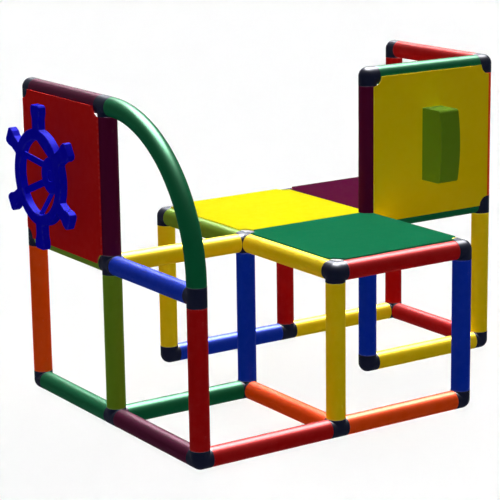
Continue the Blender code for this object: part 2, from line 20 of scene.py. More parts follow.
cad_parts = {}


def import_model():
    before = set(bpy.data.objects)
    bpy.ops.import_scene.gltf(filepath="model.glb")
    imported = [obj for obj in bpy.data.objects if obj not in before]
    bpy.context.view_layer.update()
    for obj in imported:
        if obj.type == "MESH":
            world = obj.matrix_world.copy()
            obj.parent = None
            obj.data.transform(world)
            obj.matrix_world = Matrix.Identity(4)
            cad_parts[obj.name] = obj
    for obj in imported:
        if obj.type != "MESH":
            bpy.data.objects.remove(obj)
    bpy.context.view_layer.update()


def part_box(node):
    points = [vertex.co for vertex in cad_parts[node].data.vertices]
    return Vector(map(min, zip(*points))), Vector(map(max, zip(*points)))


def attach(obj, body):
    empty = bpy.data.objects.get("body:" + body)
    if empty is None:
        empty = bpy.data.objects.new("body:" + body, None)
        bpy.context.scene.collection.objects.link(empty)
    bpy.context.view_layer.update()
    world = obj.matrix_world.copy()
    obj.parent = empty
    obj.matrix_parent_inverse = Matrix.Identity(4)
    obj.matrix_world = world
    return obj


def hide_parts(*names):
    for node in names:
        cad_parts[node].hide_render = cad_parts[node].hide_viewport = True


LOG = logging.getLogger("play_tower")
IMAGE_SIDE = 500
SENSOR_WIDTH = 36.0
SHARP_ANGLE = radians(38)
MERGE_DISTANCE = 1e-6
X_AXIS, Y_AXIS, Z_AXIS = Vector((1, 0, 0)), Vector((0, 1, 0)), Vector((0, 0, 1))

Column = tuple[int, int]
Direction = tuple[int, int, int]
Ring = list[bmesh.types.BMVert]
Station = tuple[float, float, float]


class Hue(Enum):
    """Colours of the plastic as 8-bit sRGB, each with the record's material slot. Where a slot has two colours,
    they are painted lit and shaded copies of one plastic: the lighter copy stands in for light, the darker one for
    shaded sides.
    """

    # Painted light: this red is the tubes' copy, darker as shaded sides; the next colour is the helm wall's copy of
    # it, painted lighter to offset the shade on the wall.
    RED = (188, 12, 14), "red"
    SCARLET = (214, 27, 24), "red"
    ORANGE = (255, 81, 0), "orange"
    # Painted light: this yellow is the copy for the tubes and the block wall, darker as shaded sides; the next
    # colour is the middle deck's copy, painted lighter as a lit top.
    YELLOW = (255, 220, 2), "yellow"
    LEMON = (254, 246, 4), "yellow"
    # Painted light: this green is the front deck's copy, lighter as a lit top; the next colour is the tubes' copy,
    # painted darker as shaded sides.
    GREEN = (12, 124, 80), "green"
    BOTTLE = (10, 104, 64), "green"
    APPLE = (112, 150, 32), "apple_green"
    BLUE = (3, 52, 194), "blue"
    # Painted light: this maroon is the rear deck's copy, lighter as a lit top; the next colour is the tubes' copy,
    # painted darker as shaded sides.
    MAROON = (90, 3, 52), "maroon"
    PLUM = (82, 6, 48), "maroon"
    WHEEL_BLUE = (12, 8, 208), "wheel_blue"
    NAVY = (18, 24, 50), "navy"
    GREY = (92, 96, 104), "grey"

    @property
    def linear(self) -> tuple[float, float, float, float]:
        """The colour as linear RGB with full opacity.

        Returns:
            Red, green, blue and opacity, from nought to one.
        """
        parts = [c / 255 for c in self.value[0]]
        red, green, blue = [c / 12.92 if c < 0.04045 else ((c + 0.055) / 1.055) ** 2.4 for c in parts]
        return red, green, blue, 1.0

    @property
    def slot(self) -> str:
        """The record's material slot for this colour."""
        return self.value[1]


class Body(Enum):
    """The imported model's moving bodies."""

    FRAME = "root"
    WHEEL = "wheel"


class Level(Enum):
    """Heights of the lattice at which tubes lie."""

    BASE = 0
    PLATFORM = 1
    TOP = 2


# Painted shade: the tubes take the darker copies of the colours that they share with the decks and the helm wall,
# which stand in for shaded sides.
RAILS: dict[Level, tuple[tuple[Column, Column, Hue], ...]] = {
    Level.BASE: (
        ((0, 0), (1, 0), Hue.RED),
        ((1, 0), (2, 0), Hue.ORANGE),
        ((0, 0), (0, 1), Hue.PLUM),
        ((0, 1), (0, 2), Hue.BOTTLE),
        ((0, 1), (1, 1), Hue.BOTTLE),
        ((1, 0), (1, 1), Hue.ORANGE),
        ((1, 2), (2, 2), Hue.BLUE),
        ((2, 2), (3, 2), Hue.YELLOW),
        ((3, 1), (3, 2), Hue.RED),
        ((2, 1), (3, 1), Hue.YELLOW),
    ),
    Level.PLATFORM: (
        ((0, 0), (0, 1), Hue.BLUE),
        ((0, 1), (0, 2), Hue.APPLE),
        ((0, 1), (1, 1), Hue.YELLOW),
        ((1, 0), (1, 1), Hue.YELLOW),
        ((1, 0), (2, 0), Hue.RED),
        ((1, 1), (1, 2), Hue.APPLE),
        ((2, 1), (3, 1), Hue.BOTTLE),
        ((2, 0), (2, 1), Hue.YELLOW),
        ((1, 2), (2, 2), Hue.BLUE),
        ((2, 2), (3, 2), Hue.RED),
        ((3, 1), (3, 2), Hue.ORANGE),
        ((1, 1), (2, 1), Hue.BOTTLE),
        ((2, 1), (2, 2), Hue.BLUE),
    ),
    Level.TOP: (
        ((0, 1), (0, 2), Hue.PLUM),
        ((2, 1), (3, 1), Hue.BOTTLE),
        ((3, 1), (3, 2), Hue.RED),
    ),
}
LOWER_POSTS: dict[Column, Hue] = {
    (0, 0): Hue.RED,
    (0, 1): Hue.APPLE,
    (0, 2): Hue.ORANGE,
    (1, 0): Hue.YELLOW,
    (2, 0): Hue.BLUE,
    (1, 1): Hue.BLUE,
    (1, 2): Hue.YELLOW,
    (2, 2): Hue.RED,
    (3, 2): Hue.RED,
    (2, 1): Hue.BLUE,
    (3, 1): Hue.YELLOW,
}
UPPER_POSTS: dict[Column, Hue] = {
    (0, 1): Hue.PLUM,
    (0, 2): Hue.RED,
    (2, 1): Hue.PLUM,
    (3, 1): Hue.ORANGE,
    (3, 2): Hue.RED,
}


@dataclass(frozen=True)
class Run:
    """A straight tube's place in the lattice, and the names that belong to it."""

    tube: str
    screws: str
    node: str
    hue: Hue
    start: Column
    level: Level
    way: Vector


def straight_runs() -> Iterator[Run]:
    """Every straight tube, those that lie before those that stand.

    Returns:
        Each tube's place and names.
    """
    for level, rails in RAILS.items():
        kind = level.name.lower()
        for start, end, hue in rails:
            label = f"{start[0]}{start[1]}_to_{end[0]}{end[1]}"
            names = f"tube_{kind}_{label}", f"lock_screws_{kind}_{label}", f"{kind}_rail_{label}"
            yield Run(*names, hue, start, level, Vector((end[0] - start[0], end[1] - start[1], 0)))
    stands = (LOWER_POSTS, Level.BASE, "lower", "leg"), (UPPER_POSTS, Level.PLATFORM, "upper", "upright")
    for posts, level, storey, node in stands:
        kind = level.name.lower()
        for (x, y), hue in posts.items():
            names = f"post_{storey}_{x}_{y}", f"lock_screws_{kind}_post_{x}_{y}", f"{node}_{x}_{y}"
            yield Run(*names, hue, (x, y), level, Z_AXIS)


@dataclass(frozen=True)
class Lattice:
    """The square lattice whose points are the connectors' centres."""

    origin: Vector
    pitch: float
    radius: float
    gap: float

    @classmethod
    def from_frame(cls) -> "Lattice":
        """Read the lattice off two packed tubes that lie end to end.

        Returns:
            The lattice, with the tube's radius and the play between a tube and its connector.
        """
        low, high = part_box("base_rail_00_to_10")
        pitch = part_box("base_rail_10_to_20")[0].x - low.x
        radius = (high.z - low.z) / 2
        origin = (low + high) / 2 - Vector((pitch / 2, 0, 0))
        return cls(origin, pitch, radius, low.x - origin.x - radius)

    @property
    def tube_end(self) -> float:
        """Distance from a connector's centre to the end of a tube."""
        return self.radius + self.gap

    def point(self, column: Column, level: Level) -> Vector:
        """The centre of the connector at a column and level."""
        return self.origin + self.pitch * Vector((column[0], column[1], level.value))

    def middle(self, run: Run) -> Matrix:
        """A frame in the middle of a straight tube, with the axes of the lattice."""
        return Matrix.Translation(self.point(run.start, run.level) + run.way * self.pitch / 2)

    def cell(self, corner: Column, right: Vector, up: Vector) -> Matrix:
        """The frame of a panel at platform height or above it.

        Args:
            corner: Column of the panel's own lower left connector.
            right: Direction of the panel's X axis.
            up: Direction of the panel's Y axis.

        Returns:
            A matrix whose origin is the cell's middle, on the tubes' axes, with Z out of the face.
        """
        turn = Matrix((right, up, right.cross(up))).transposed().to_4x4()
        return Matrix.Translation(self.point(corner, Level.PLATFORM) + (right + up) * self.pitch / 2) @ turn


def ring_points(centre: Vector, u: Vector, v: Vector, radius: float, sides: int) -> list[Vector]:
    """Points of a circle about a centre, in the plane of two unit vectors."""
    turns = [2 * pi * i / sides for i in range(sides)]
    return [centre + radius * (cos(t) * u + sin(t) * v) for t in turns]


def circle(radius: float, sides: int, sense: int = 1) -> list[Vector]:
    """A flat circle about the origin, anticlockwise, or clockwise where the sense is -1."""
    return [point.to_2d() for point in ring_points(Vector(), X_AXIS, sense * Y_AXIS, radius, sides)]


def quarter_turns(steps: int) -> list[float]:
    """Angles from nought to a quarter turn."""
    return [pi / 2 * i / steps for i in range(steps + 1)]


def rounded_edge(radius: float, height: float, rounding: float, steps: int, worn: float) -> list[Station]:
    """The rounding of a turned piece's outer edge, from its side up to its face.

    Args:
        radius: The piece's radius.
        height: Height of its face.
        rounding: Radius of the edge.
        steps: Segments in the rounding.
        worn: How worn it is, from nought to one.

    Returns:
        Points of the profile as (radius, height, worn).
    """
    turns = quarter_turns(steps)
    return [(radius - rounding * (1 - cos(t)), height - rounding * (1 - sin(t)), worn) for t in turns]


def heading(azimuth: float, elevation: float) -> Vector:
    """The unit vector at an azimuth and an elevation in degrees."""
    turn, rise = radians(azimuth), radians(elevation)
    return Vector((cos(turn) * cos(rise), sin(turn) * cos(rise), sin(rise)))


def inset(loop: Sequence[Vector], depth: float) -> list[Vector]:
    """Move a flat loop into the material on its left.

    Args:
        loop: Corners in order, as 2-D vectors.
        depth: Distance to move, square to each side.

    Returns:
        The moved corners, in the same order.
    """
    moved = []
    for i, point in enumerate(loop):
        before = (point - loop[i - 1]).normalized()
        after = (loop[(i + 1) % len(loop)] - point).normalized()
        first, second = Vector((-before.y, before.x)), Vector((-after.y, after.x))
        moved.append(point + (first + second) * depth / (1 + first.dot(second)))
    return moved


def fillet(corners: Sequence[tuple[Vector, float]], steps: int = 5) -> list[Vector]:
    """Round off the corners of a flat loop.

    Args:
        corners: Each corner with its radius, or nought to leave it.
        steps: Segments in each rounded corner.

    Returns:
        The rounded loop.
    """
    loop = []
    for i, (corner, radius) in enumerate(corners):
        if radius <= 0:
            loop.append(corner)
            continue
        back = (corners[i - 1][0] - corner).normalized()
        ahead = (corners[(i + 1) % len(corners)][0] - corner).normalized()
        half = acos(max(-1.0, min(1.0, back.dot(ahead)))) / 2
        centre = corner + (back + ahead).normalized() * radius / sin(half)
        start = corner + back * radius / tan(half) - centre
        end = corner + ahead * radius / tan(half) - centre
        sweep = start.angle_signed(end)
        loop += [centre + Matrix.Rotation(-sweep * k / steps, 2) @ start for k in range(steps + 1)]
    return loop


def add_object(name: str, data: ID) -> Object:
    """Make an object and link it to the scene.

    Args:
        name: Name of the object.
        data: Its mesh, light or camera.

    Returns:
        The new object.
    """
    made = bpy.data.objects.new(name, data)
    bpy.context.scene.collection.objects.link(made)
    return made


class Solid:
    """A shape in the making, whose points know how worn they are and where their grain lies."""

    SLAB_STEPS = 4
    SLAB_BACK_WORN = 0.6
    SLAB_SIDE_ROOM = 2.5

    def __init__(self) -> None:
        """Start an empty shape."""
        self.bm = bmesh.new()
        self.worn = self.bm.verts.layers.float.new("worn")
        self.grain = self.bm.verts.layers.float_vector.new("grain")

    def ring(self, points: Iterable[Vector], worn: float = 0.0, grain: Sequence[Vector] | None = None) -> Ring:
        """Add a loop of loose points.

        Args:
            points: Where the points lie.
            worn: How worn an edge there is, from nought to one.
            grain: Where each point lies in its grain, if not where it is.

        Returns:
            The new vertices.
        """
        made = []
        for i, point in enumerate(points):
            vert = self.bm.verts.new(point)
            vert[self.worn] = worn
            vert[self.grain] = grain[i] if grain else point
            made.append(vert)
        return made

    def bands(self, rows: Sequence[Ring], closed: bool = True) -> None:
        """Join each row of vertices to the next with a band of faces.

        Args:
            rows: Rows of the same length.
            closed: Whether the rows run right round.
        """
        for first, second in zip(rows, rows[1:]):
            count = len(first)
            for i in range(count if closed else count - 1):
                k = (i + 1) % count
                corners = dict.fromkeys((first[i], first[k], second[k], second[i]))
                if len(corners) > 2:
                    self.bm.faces.new(corners)

    def skin(self, rings: Sequence[Ring], closed: bool = False) -> None:
        """Skin a row of rings, closed on itself or capped at both ends.

        Args:
            rings: Rings of the same length.
            closed: Whether the last ring meets the first.
        """
        self.bands(rings)
        if closed:
            self.bands((rings[-1], rings[0]))
        else:
            self.bm.faces.new(rings[0])
            self.bm.faces.new(rings[-1])

    def lathe(
        self, profile: Sequence[Station], sides: int, closed: bool = False, place: Matrix | None = None
    ) -> "Solid":
        """Turn a profile round the Z axis.

        Args:
            profile: Points as (radius, height, worn).
            sides: Facets round the axis.
            closed: Whether the profile closes on itself, as that of a ring does.
            place: The frame that it lies in, if not this shape's own.

        Returns:
            This shape.
        """
        place = place or Matrix.Identity(4)
        rings = []
        for radius, height, worn in profile:
            flat = ring_points(Vector((0, 0, height)), X_AXIS, Y_AXIS, radius, sides)
            rings.append(self.ring([place @ point for point in flat], worn))
        self.skin(rings, closed)
        return self

    def slab(
        self,
        loops: Sequence[Sequence[Vector]],
        low: float,
        high: float,
        rounding: float,
        under: float,
        margin: float,
        place: Matrix | None = None,
    ) -> "Solid":
        """Add a flat piece with rounded edges.

        Args:
            loops: The outline, then any holes, as 2-D loops.
            low: Height of its back.
            high: Height of its face.
            rounding: Radius of the edges round its face.
            under: Radius of the edges round its back.
            margin: Width of the flat strip inside each rounded edge.
            place: The frame that it lies in, if not this shape's own.

        Returns:
            This shape.
        """
        place = place or Matrix.Identity(4)
        turns, worn_back = quarter_turns(self.SLAB_STEPS), self.SLAB_BACK_WORN
        rows = [(under + margin, low, 0.0)]
        rows += [(under * (1 - sin(t)), low + under * (1 - cos(t)), worn_back) for t in turns]
        if high - low > under + rounding + self.SLAB_SIDE_ROOM * margin:
            rows += [(0.0, low + under + margin, 0.0), (0.0, high - rounding - margin, 0.0)]
        rows += [(rounding * (1 - cos(t)), high - rounding * (1 - sin(t)), 1.0) for t in turns]
        rows += [(rounding + margin, high, 0.0)]
        ends: list[list[Ring]] = [[], []]
        for loop in loops:
            rings = []
            for depth, height, worn in rows:
                flat = inset(loop, depth)
                rings.append(self.ring([place @ Vector((p.x, p.y, height)) for p in flat], worn))
            self.bands(rings)
            ends[0].append(rings[0])
            ends[1].append(rings[-1])
        for rims in ends:
            if len(rims) == 1:
                self.bm.faces.new(rims[0])
                continue
            pairs = [(ring[i - 1], ring[i]) for ring in rims for i in range(len(ring))]
            bmesh.ops.triangle_fill(self.bm, edges=[self.bm.edges.get(pair) for pair in pairs], use_beauty=True)
        return self

    def merge(self) -> None:
        """Make one point of those that coincide."""
        bmesh.ops.remove_doubles(self.bm, verts=self.bm.verts, dist=MERGE_DISTANCE)

    def finish(self, name: str, shift: Vector) -> Mesh:
        """Turn every face outwards and store the shape.

        Args:
            name: Name of the mesh.
            shift: Offset of its grain, so that it doesn't share its neighbours'.

        Returns:
            The mesh, smooth across shallow angles.
        """
        bmesh.ops.recalc_face_normals(self.bm, faces=self.bm.faces)
        for vert in self.bm.verts:
            vert[self.grain] = vert[self.grain] + shift
        mesh = bpy.data.meshes.new(name)
        self.bm.to_mesh(mesh)
        self.bm.free()
        mesh.shade_smooth()
        mesh.set_sharp_from_angle(angle=SHARP_ANGLE)
        return mesh


class Texture(Enum):
    """The ways in which a moulding's surface is textured."""

    DRAWN = "drawn"
    SPARKED = "sparked"
    SHEET = "sheet"
    POLISHED = "polished"


@dataclass(frozen=True)
class PlasticFinish:
    """How the plastic of one kind of moulding is finished. Depths are in metres."""

    texture: Texture
    gloss: float
    roughness: float
    wear: float
    grain_scale: float
    grain_depth: float = 1.0e-6
    line_depth: float = 0.0
    drift: float = 0.014
    dust: float = 0.0
    lustre: float = 0.0


TUBE_FINISH = PlasticFinish(
    Texture.DRAWN,
    gloss=0.06,
    roughness=0.36,
    wear=0.30,
    grain_scale=330.0,
    grain_depth=2.0e-6,
    line_depth=4.0e-6,
    drift=0.018,
    dust=0.003,
    lustre=0.03,
)
CONNECTOR_FINISH = PlasticFinish(
    Texture.SPARKED,
    gloss=0.11,
    roughness=0.38,
    wear=0.35,
    grain_scale=900.0,
    grain_depth=6.0e-6,
    line_depth=5.0e-5,
    drift=0.03,
    dust=0.004,
    lustre=0.01,
)
SHEET_FINISH = PlasticFinish(
    Texture.SHEET,
    gloss=0.002,
    roughness=0.50,
    wear=0.22,
    grain_scale=420.0,
    grain_depth=3.0e-6,
    line_depth=2.0e-6,
    dust=0.001,
)
SCREW_FINISH = PlasticFinish(
    Texture.POLISHED, gloss=0.15, roughness=0.32, wear=0.60, grain_scale=900.0, lustre=0.03
)
WHEEL_FINISH = PlasticFinish(
    Texture.POLISHED, gloss=0.004, roughness=0.42, wear=0.12, grain_scale=500.0, lustre=0.004
)


class NodeTable:
    """Adds nodes to one tree and links them in a few words."""

    NOISE_ROUGHNESS = 0.55

    def __init__(self, tree: NodeTree) -> None:
        """Work on a node tree."""
        self.tree = tree

    def fill(self, node: Node, inputs: dict[str | int, object]) -> None:
        """Give a node's inputs, by name or number, their values or the output sockets that feed them.

        Args:
            node: The node.
            inputs: Value or output socket for each input, by name or number.
        """
        for key, value in inputs.items():
            if isinstance(value, NodeSocket):
                self.tree.links.new(value, node.inputs[key])
            else:
                node.inputs[key].default_value = value

    def add(self, kind: str, inputs: dict[str | int, object] | None = None, **settings: object) -> Node:
        """Add a node.

        Args:
            kind: Blender's name for the node type.
            inputs: Value or output socket for each input, by name or number.
            settings: The node's own properties.

        Returns:
            The new node.
        """
        node = self.tree.nodes.new(kind)
        for key, value in settings.items():
            setattr(node, key, value)
        self.fill(node, inputs or {})
        return node

    def use(self, group: NodeTree, **inputs: object) -> bpy_prop_collection:
        """Place an effect group and return its outputs."""
        return self.add("ShaderNodeGroup", inputs, node_tree=group).outputs

    def math(self, operation: str, first: object, second: object = 0.0, clamp: bool = False) -> NodeSocket:
        """Do a sum on two numbers or sockets and return its output."""
        return self.add("ShaderNodeMath", {0: first, 1: second}, operation=operation, use_clamp=clamp).outputs[0]

    def plus(self, first: object, second: object) -> NodeSocket:
        """The sum of two numbers or sockets."""
        return self.math("ADD", first, second)

    def times(self, first: object, second: object) -> NodeSocket:
        """The product of two numbers or sockets."""
        return self.math("MULTIPLY", first, second)

    def noise(self, vector: object, scale: object, detail: float) -> NodeSocket:
        """A cloud of values about a half."""
        inputs = {"Vector": vector, "Scale": scale, "Detail": detail, "Roughness": self.NOISE_ROUGHNESS}
        return self.add("ShaderNodeTexNoise", inputs).outputs[0]

    def stretched_noise(
        self, vector: object, factors: tuple[float, float, float], detail: float
    ) -> NodeSocket:
        """A cloud of values whose scale differs along the three axes."""
        scaled = self.add("ShaderNodeVectorMath", {0: vector, 1: factors}, operation="MULTIPLY").outputs[0]
        return self.noise(scaled, 1.0, detail)

    def mask(self, value: object, low: float, high: float) -> NodeSocket:
        """Map a value smoothly to nought below one limit and one above the other."""
        inputs = {0: value, 1: low, 2: high, 3: 0.0, 4: 1.0}
        return self.add("ShaderNodeMapRange", inputs, interpolation_type="SMOOTHSTEP").outputs[0]

    def blend(self, factor: object, first: object, second: object) -> NodeSocket:
        """A colour between two others."""
        return self.add("ShaderNodeMix", {0: factor, 6: first, 7: second}, data_type="RGBA").outputs[2]

    def shifted(self, colour: object, saturation: float, value: float) -> NodeSocket:
        """A colour with its saturation and brightness multiplied."""
        inputs = {"Saturation": saturation, "Value": value, "Color": colour}
        return self.add("ShaderNodeHueSaturation", inputs).outputs[0]


class Socket(Enum):
    """Kinds of socket on a shader node group."""

    NUMBER = "NodeSocketFloat"
    VECTOR = "NodeSocketVector"
    COLOUR = "NodeSocketColor"


class EffectGroup:
    """A shader node group in the making, whose sockets are numbers unless KINDS says otherwise."""

    KINDS = {"Colour": Socket.COLOUR, "Place": Socket.VECTOR}

    def __init__(self, name: str, inputs: Sequence[str], outputs: Sequence[str]) -> None:
        """Make the group's sockets.

        Args:
            name: Name of the group.
            inputs: Names of its inputs.
            outputs: Names of its outputs.
        """
        self.tree = bpy.data.node_groups.new(name, "ShaderNodeTree")
        for way, labels in (("INPUT", inputs), ("OUTPUT", outputs)):
            for label in labels:
                kind = self.KINDS.get(label, Socket.NUMBER)
                self.tree.interface.new_socket(label, in_out=way, socket_type=kind.value)
        self.table = NodeTable(self.tree)
        self.given = self.table.add("NodeGroupInput").outputs[: len(inputs)]
        self.result = self.table.add("NodeGroupOutput")

    def give(self, **values: NodeSocket) -> NodeTree:
        """Link the group's outputs.

        Args:
            values: The socket for each output, by its name.

        Returns:
            The finished group.
        """
        self.table.fill(self.result, values)
        return self.tree


class PaintShop:
    """Makes each effect group and each material once."""

    DRIFT_GAIN = 8.0
    SOFT_GRAIN_SCALE = 0.35
    CELL_SHARE = 0.6
    FINE_LINE_SHARE = 0.6
    SCRATCH_SHARE = 0.35
    SCRATCH_DEPTH = 1.5e-6
    WORN_ROUGHER = 0.22
    DUST_ROUGHER = 1.2
    DUST_COLOUR = (0.62, 0.60, 0.56, 1.0)

    def __init__(self) -> None:
        """Build the effect groups."""
        self.drift = self._colour_drift()
        self.grain = self._moulded_grain()
        self.lines = self._draw_lines()
        self.seam = self._parting_line()
        self.wear = self._handling_wear()
        self.dust = self._dust_film()
        self.made: dict[tuple[Hue, PlasticFinish], Material] = {}

    def _colour_drift(self) -> NodeTree:
        """Cloudy variation of a pigment through a moulding.

        Returns:
            The effect group.
        """
        group = EffectGroup("colour_drift", ("Colour", "Place", "Amount"), ("Colour",))
        t, colour, place, amount = group.table, *group.given
        broad, fine = t.noise(place, scale=7.0, detail=3.0), t.noise(place, scale=46.0, detail=2.0)
        light = t.mask(t.plus(broad, fine), low=0.75, high=1.25)
        pale = t.shifted(colour, saturation=0.94, value=1.10)
        deep = t.shifted(colour, saturation=1.0, value=0.86)
        swing = t.blend(light, deep, pale)
        strength = t.math("MULTIPLY", amount, self.DRIFT_GAIN, clamp=True)
        return group.give(Colour=t.blend(strength, colour, swing))

    def _moulded_grain(self) -> NodeTree:
        """Fine pebbled texture that a mould leaves.

        Returns:
            The effect group.
        """
        group = EffectGroup("moulded_grain", ("Place", "Scale", "Depth"), ("Height",))
        t, place, scale, depth = group.table, *group.given
        cells = t.add("ShaderNodeTexVoronoi", {"Vector": place, "Scale": scale}, feature="SMOOTH_F1")
        soft = t.noise(place, t.times(scale, self.SOFT_GRAIN_SCALE), detail=2.0)
        pebble = t.plus(t.times(cells.outputs["Distance"], self.CELL_SHARE), soft)
        return group.give(Height=t.times(pebble, depth))

    def _draw_lines(self) -> NodeTree:
        """Faint lines along the grain's third axis, as an extruder's die leaves.

        Returns:
            The effect group.
        """
        group = EffectGroup("draw_lines", ("Place", "Depth"), ("Height",))
        t, place, depth = group.table, *group.given
        fine = t.stretched_noise(place, factors=(620.0, 620.0, 2.0), detail=3.0)
        broad = t.stretched_noise(place, factors=(150.0, 150.0, 1.2), detail=1.0)
        return group.give(Height=t.times(t.plus(t.times(fine, self.FINE_LINE_SHARE), broad), depth))

    def _parting_line(self) -> NodeTree:
        """The thin raised line where the halves of a mould met.

        Returns:
            The effect group.
        """
        group = EffectGroup("parting_line", ("Distance", "Depth"), ("Height",))
        t, distance, depth = group.table, *group.given
        beside = t.mask(t.math("ABSOLUTE", distance), low=0.0001, high=0.0005)
        return group.give(Height=t.times(t.math("SUBTRACT", 1.0, beside), depth))

    def _handling_wear(self) -> NodeTree:
        """Scuffed edges, and fine scratches over the rest.

        Returns:
            The effect group.
        """
        inputs, outputs = ("Colour", "Roughness", "Worn", "Place", "Amount"), ("Colour", "Roughness", "Height")
        group = EffectGroup("handling_wear", inputs, outputs)
        t, colour, roughness, worn, place, amount = group.table, *group.given
        broken = t.mask(t.noise(place, scale=95.0, detail=4.0), low=0.42, high=0.62)
        edge = t.times(t.mask(worn, low=0.25, high=1.0), broken)
        along = t.stretched_noise(place, factors=(36.0, 420.0, 90.0), detail=2.0)
        across = t.stretched_noise(place, factors=(400.0, 52.0, 310.0), detail=2.0)
        marks = t.mask(along, low=0.66, high=0.74), t.mask(across, low=0.67, high=0.75)
        scratch = t.math("ADD", *marks, clamp=True)
        both = t.math("ADD", edge, t.times(scratch, self.SCRATCH_SHARE), clamp=True)
        mask = t.times(both, amount)
        return group.give(
            Colour=t.blend(mask, colour, t.shifted(colour, saturation=0.82, value=1.22)),
            Roughness=t.plus(roughness, t.times(mask, self.WORN_ROUGHER)),
            Height=t.times(scratch, -self.SCRATCH_DEPTH),
        )

    def _dust_film(self) -> NodeTree:
        """A thin pale film on faces that look up.

        Returns:
            The effect group.
        """
        group = EffectGroup("dust_film", ("Colour", "Roughness", "Place", "Amount"), ("Colour", "Roughness"))
        t, colour, roughness, place, amount = group.table, *group.given
        normal = t.add("ShaderNodeNewGeometry").outputs["Normal"]
        rise = t.add("ShaderNodeSeparateXYZ", {0: normal}).outputs["Z"]
        patchy = t.mask(t.noise(place, scale=24.0, detail=5.0), low=0.35, high=0.75)
        film = t.times(t.times(t.mask(rise, low=0.75, high=1.0), patchy), amount)
        rougher = t.plus(roughness, t.times(film, self.DUST_ROUGHER))
        return group.give(Colour=t.blend(film, colour, self.DUST_COLOUR), Roughness=rougher)

    def _relief(
        self, t: NodeTable, finish: PlasticFinish, place: NodeSocket, scratches: NodeSocket
    ) -> NodeSocket:
        """The height of a surface's texture.

        Args:
            t: The material's nodes.
            finish: How the moulding is finished.
            place: Where a point lies in its grain.
            scratches: Height of the scratches.

        Returns:
            The height, in metres.
        """
        grain = t.use(self.grain, Place=place, Scale=finish.grain_scale, Depth=finish.grain_depth)
        height = t.plus(grain["Height"], scratches)
        if finish.texture in (Texture.DRAWN, Texture.SHEET):
            lines = t.use(self.lines, Place=place, Depth=finish.line_depth)
            height = t.plus(height, lines["Height"])
        elif finish.texture is Texture.SPARKED:
            local = t.add("ShaderNodeTexCoord").outputs["Object"]
            rise = t.add("ShaderNodeSeparateXYZ", {0: local}).outputs["Z"]
            seam = t.use(self.seam, Distance=rise, Depth=finish.line_depth)
            height = t.plus(height, seam["Height"])
        return height

    def plastic(self, hue: Hue, finish: PlasticFinish) -> Material:
        """The plastic of one colour in one finish.

        Args:
            hue: Its colour.
            finish: How the moulding is finished.

        Returns:
            The material.
        """
        if (hue, finish) in self.made:
            return self.made[(hue, finish)]
        made = bpy.data.materials.new(f"{hue.name.lower()}_{finish.texture.value}")
        made.use_nodes = True
        t = NodeTable(made.node_tree)
        place = t.add("ShaderNodeAttribute", attribute_name="grain").outputs["Vector"]
        worn = t.add("ShaderNodeAttribute", attribute_name="worn").outputs["Fac"]
        drift = t.use(self.drift, Colour=hue.linear, Place=place, Amount=finish.drift)
        look = wear = t.use(
            self.wear,
            Colour=drift["Colour"],
            Roughness=finish.roughness,
            Worn=worn,
            Place=place,
            Amount=finish.wear,
        )
        if finish.dust > 0:
            rough = wear["Roughness"]
            look = t.use(self.dust, Colour=wear["Colour"], Roughness=rough, Place=place, Amount=finish.dust)
        relief = self._relief(t, finish, place, wear["Height"])
        bump = t.add("ShaderNodeBump", {"Height": relief, "Distance": 1.0, "Strength": 1.0})
        shading = {
            "Base Color": look["Colour"],
            "Roughness": look["Roughness"],
            "Normal": bump.outputs[0],
            "Specular IOR Level": 0.0,
            "Metallic": finish.lustre,
            "Coat Weight": finish.gloss,
            "Coat Roughness": finish.roughness,
        }
        t.fill(made.node_tree.nodes["Principled BSDF"], shading)
        self.made[(hue, finish)] = made
        return made


def grain_shift(number: int) -> Vector:
    """An offset that gives each numbered piece a stretch of grain of its own."""
    return Vector((0.37 * (number % 7), 0.53 * (number % 5), 0.71 * number))


@dataclass
class SubAssembly:
    """Some pieces of the tower that are made together."""

    lattice: Lattice
    shop: PaintShop

    def add(
        self,
        name: str,
        solid: Solid,
        shift: Vector,
        hue: Hue,
        finish: PlasticFinish,
        place: Matrix,
        node: str,
        body: Body = Body.FRAME,
    ) -> None:
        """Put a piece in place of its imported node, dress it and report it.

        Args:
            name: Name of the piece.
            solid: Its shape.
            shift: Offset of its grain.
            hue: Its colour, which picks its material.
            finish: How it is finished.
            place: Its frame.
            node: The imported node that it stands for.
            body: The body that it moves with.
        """
        mesh = solid.finish(name, shift)
        mesh.materials.append(self.shop.plastic(hue, finish))
        piece = add_object(name, mesh)
        piece.matrix_world = place
        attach(piece, body.value)
        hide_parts(node)
        low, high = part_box(node)
        corners = [place @ Vector(corner) for corner in piece.bound_box]
        past = max(max(low[i] - corner[i], corner[i] - high[i]) for corner in corners for i in range(3))
        LOG.info("%s: %d faces, %.2f mm past its node", name, len(mesh.polygons), max(past, 0.0) * 1000)


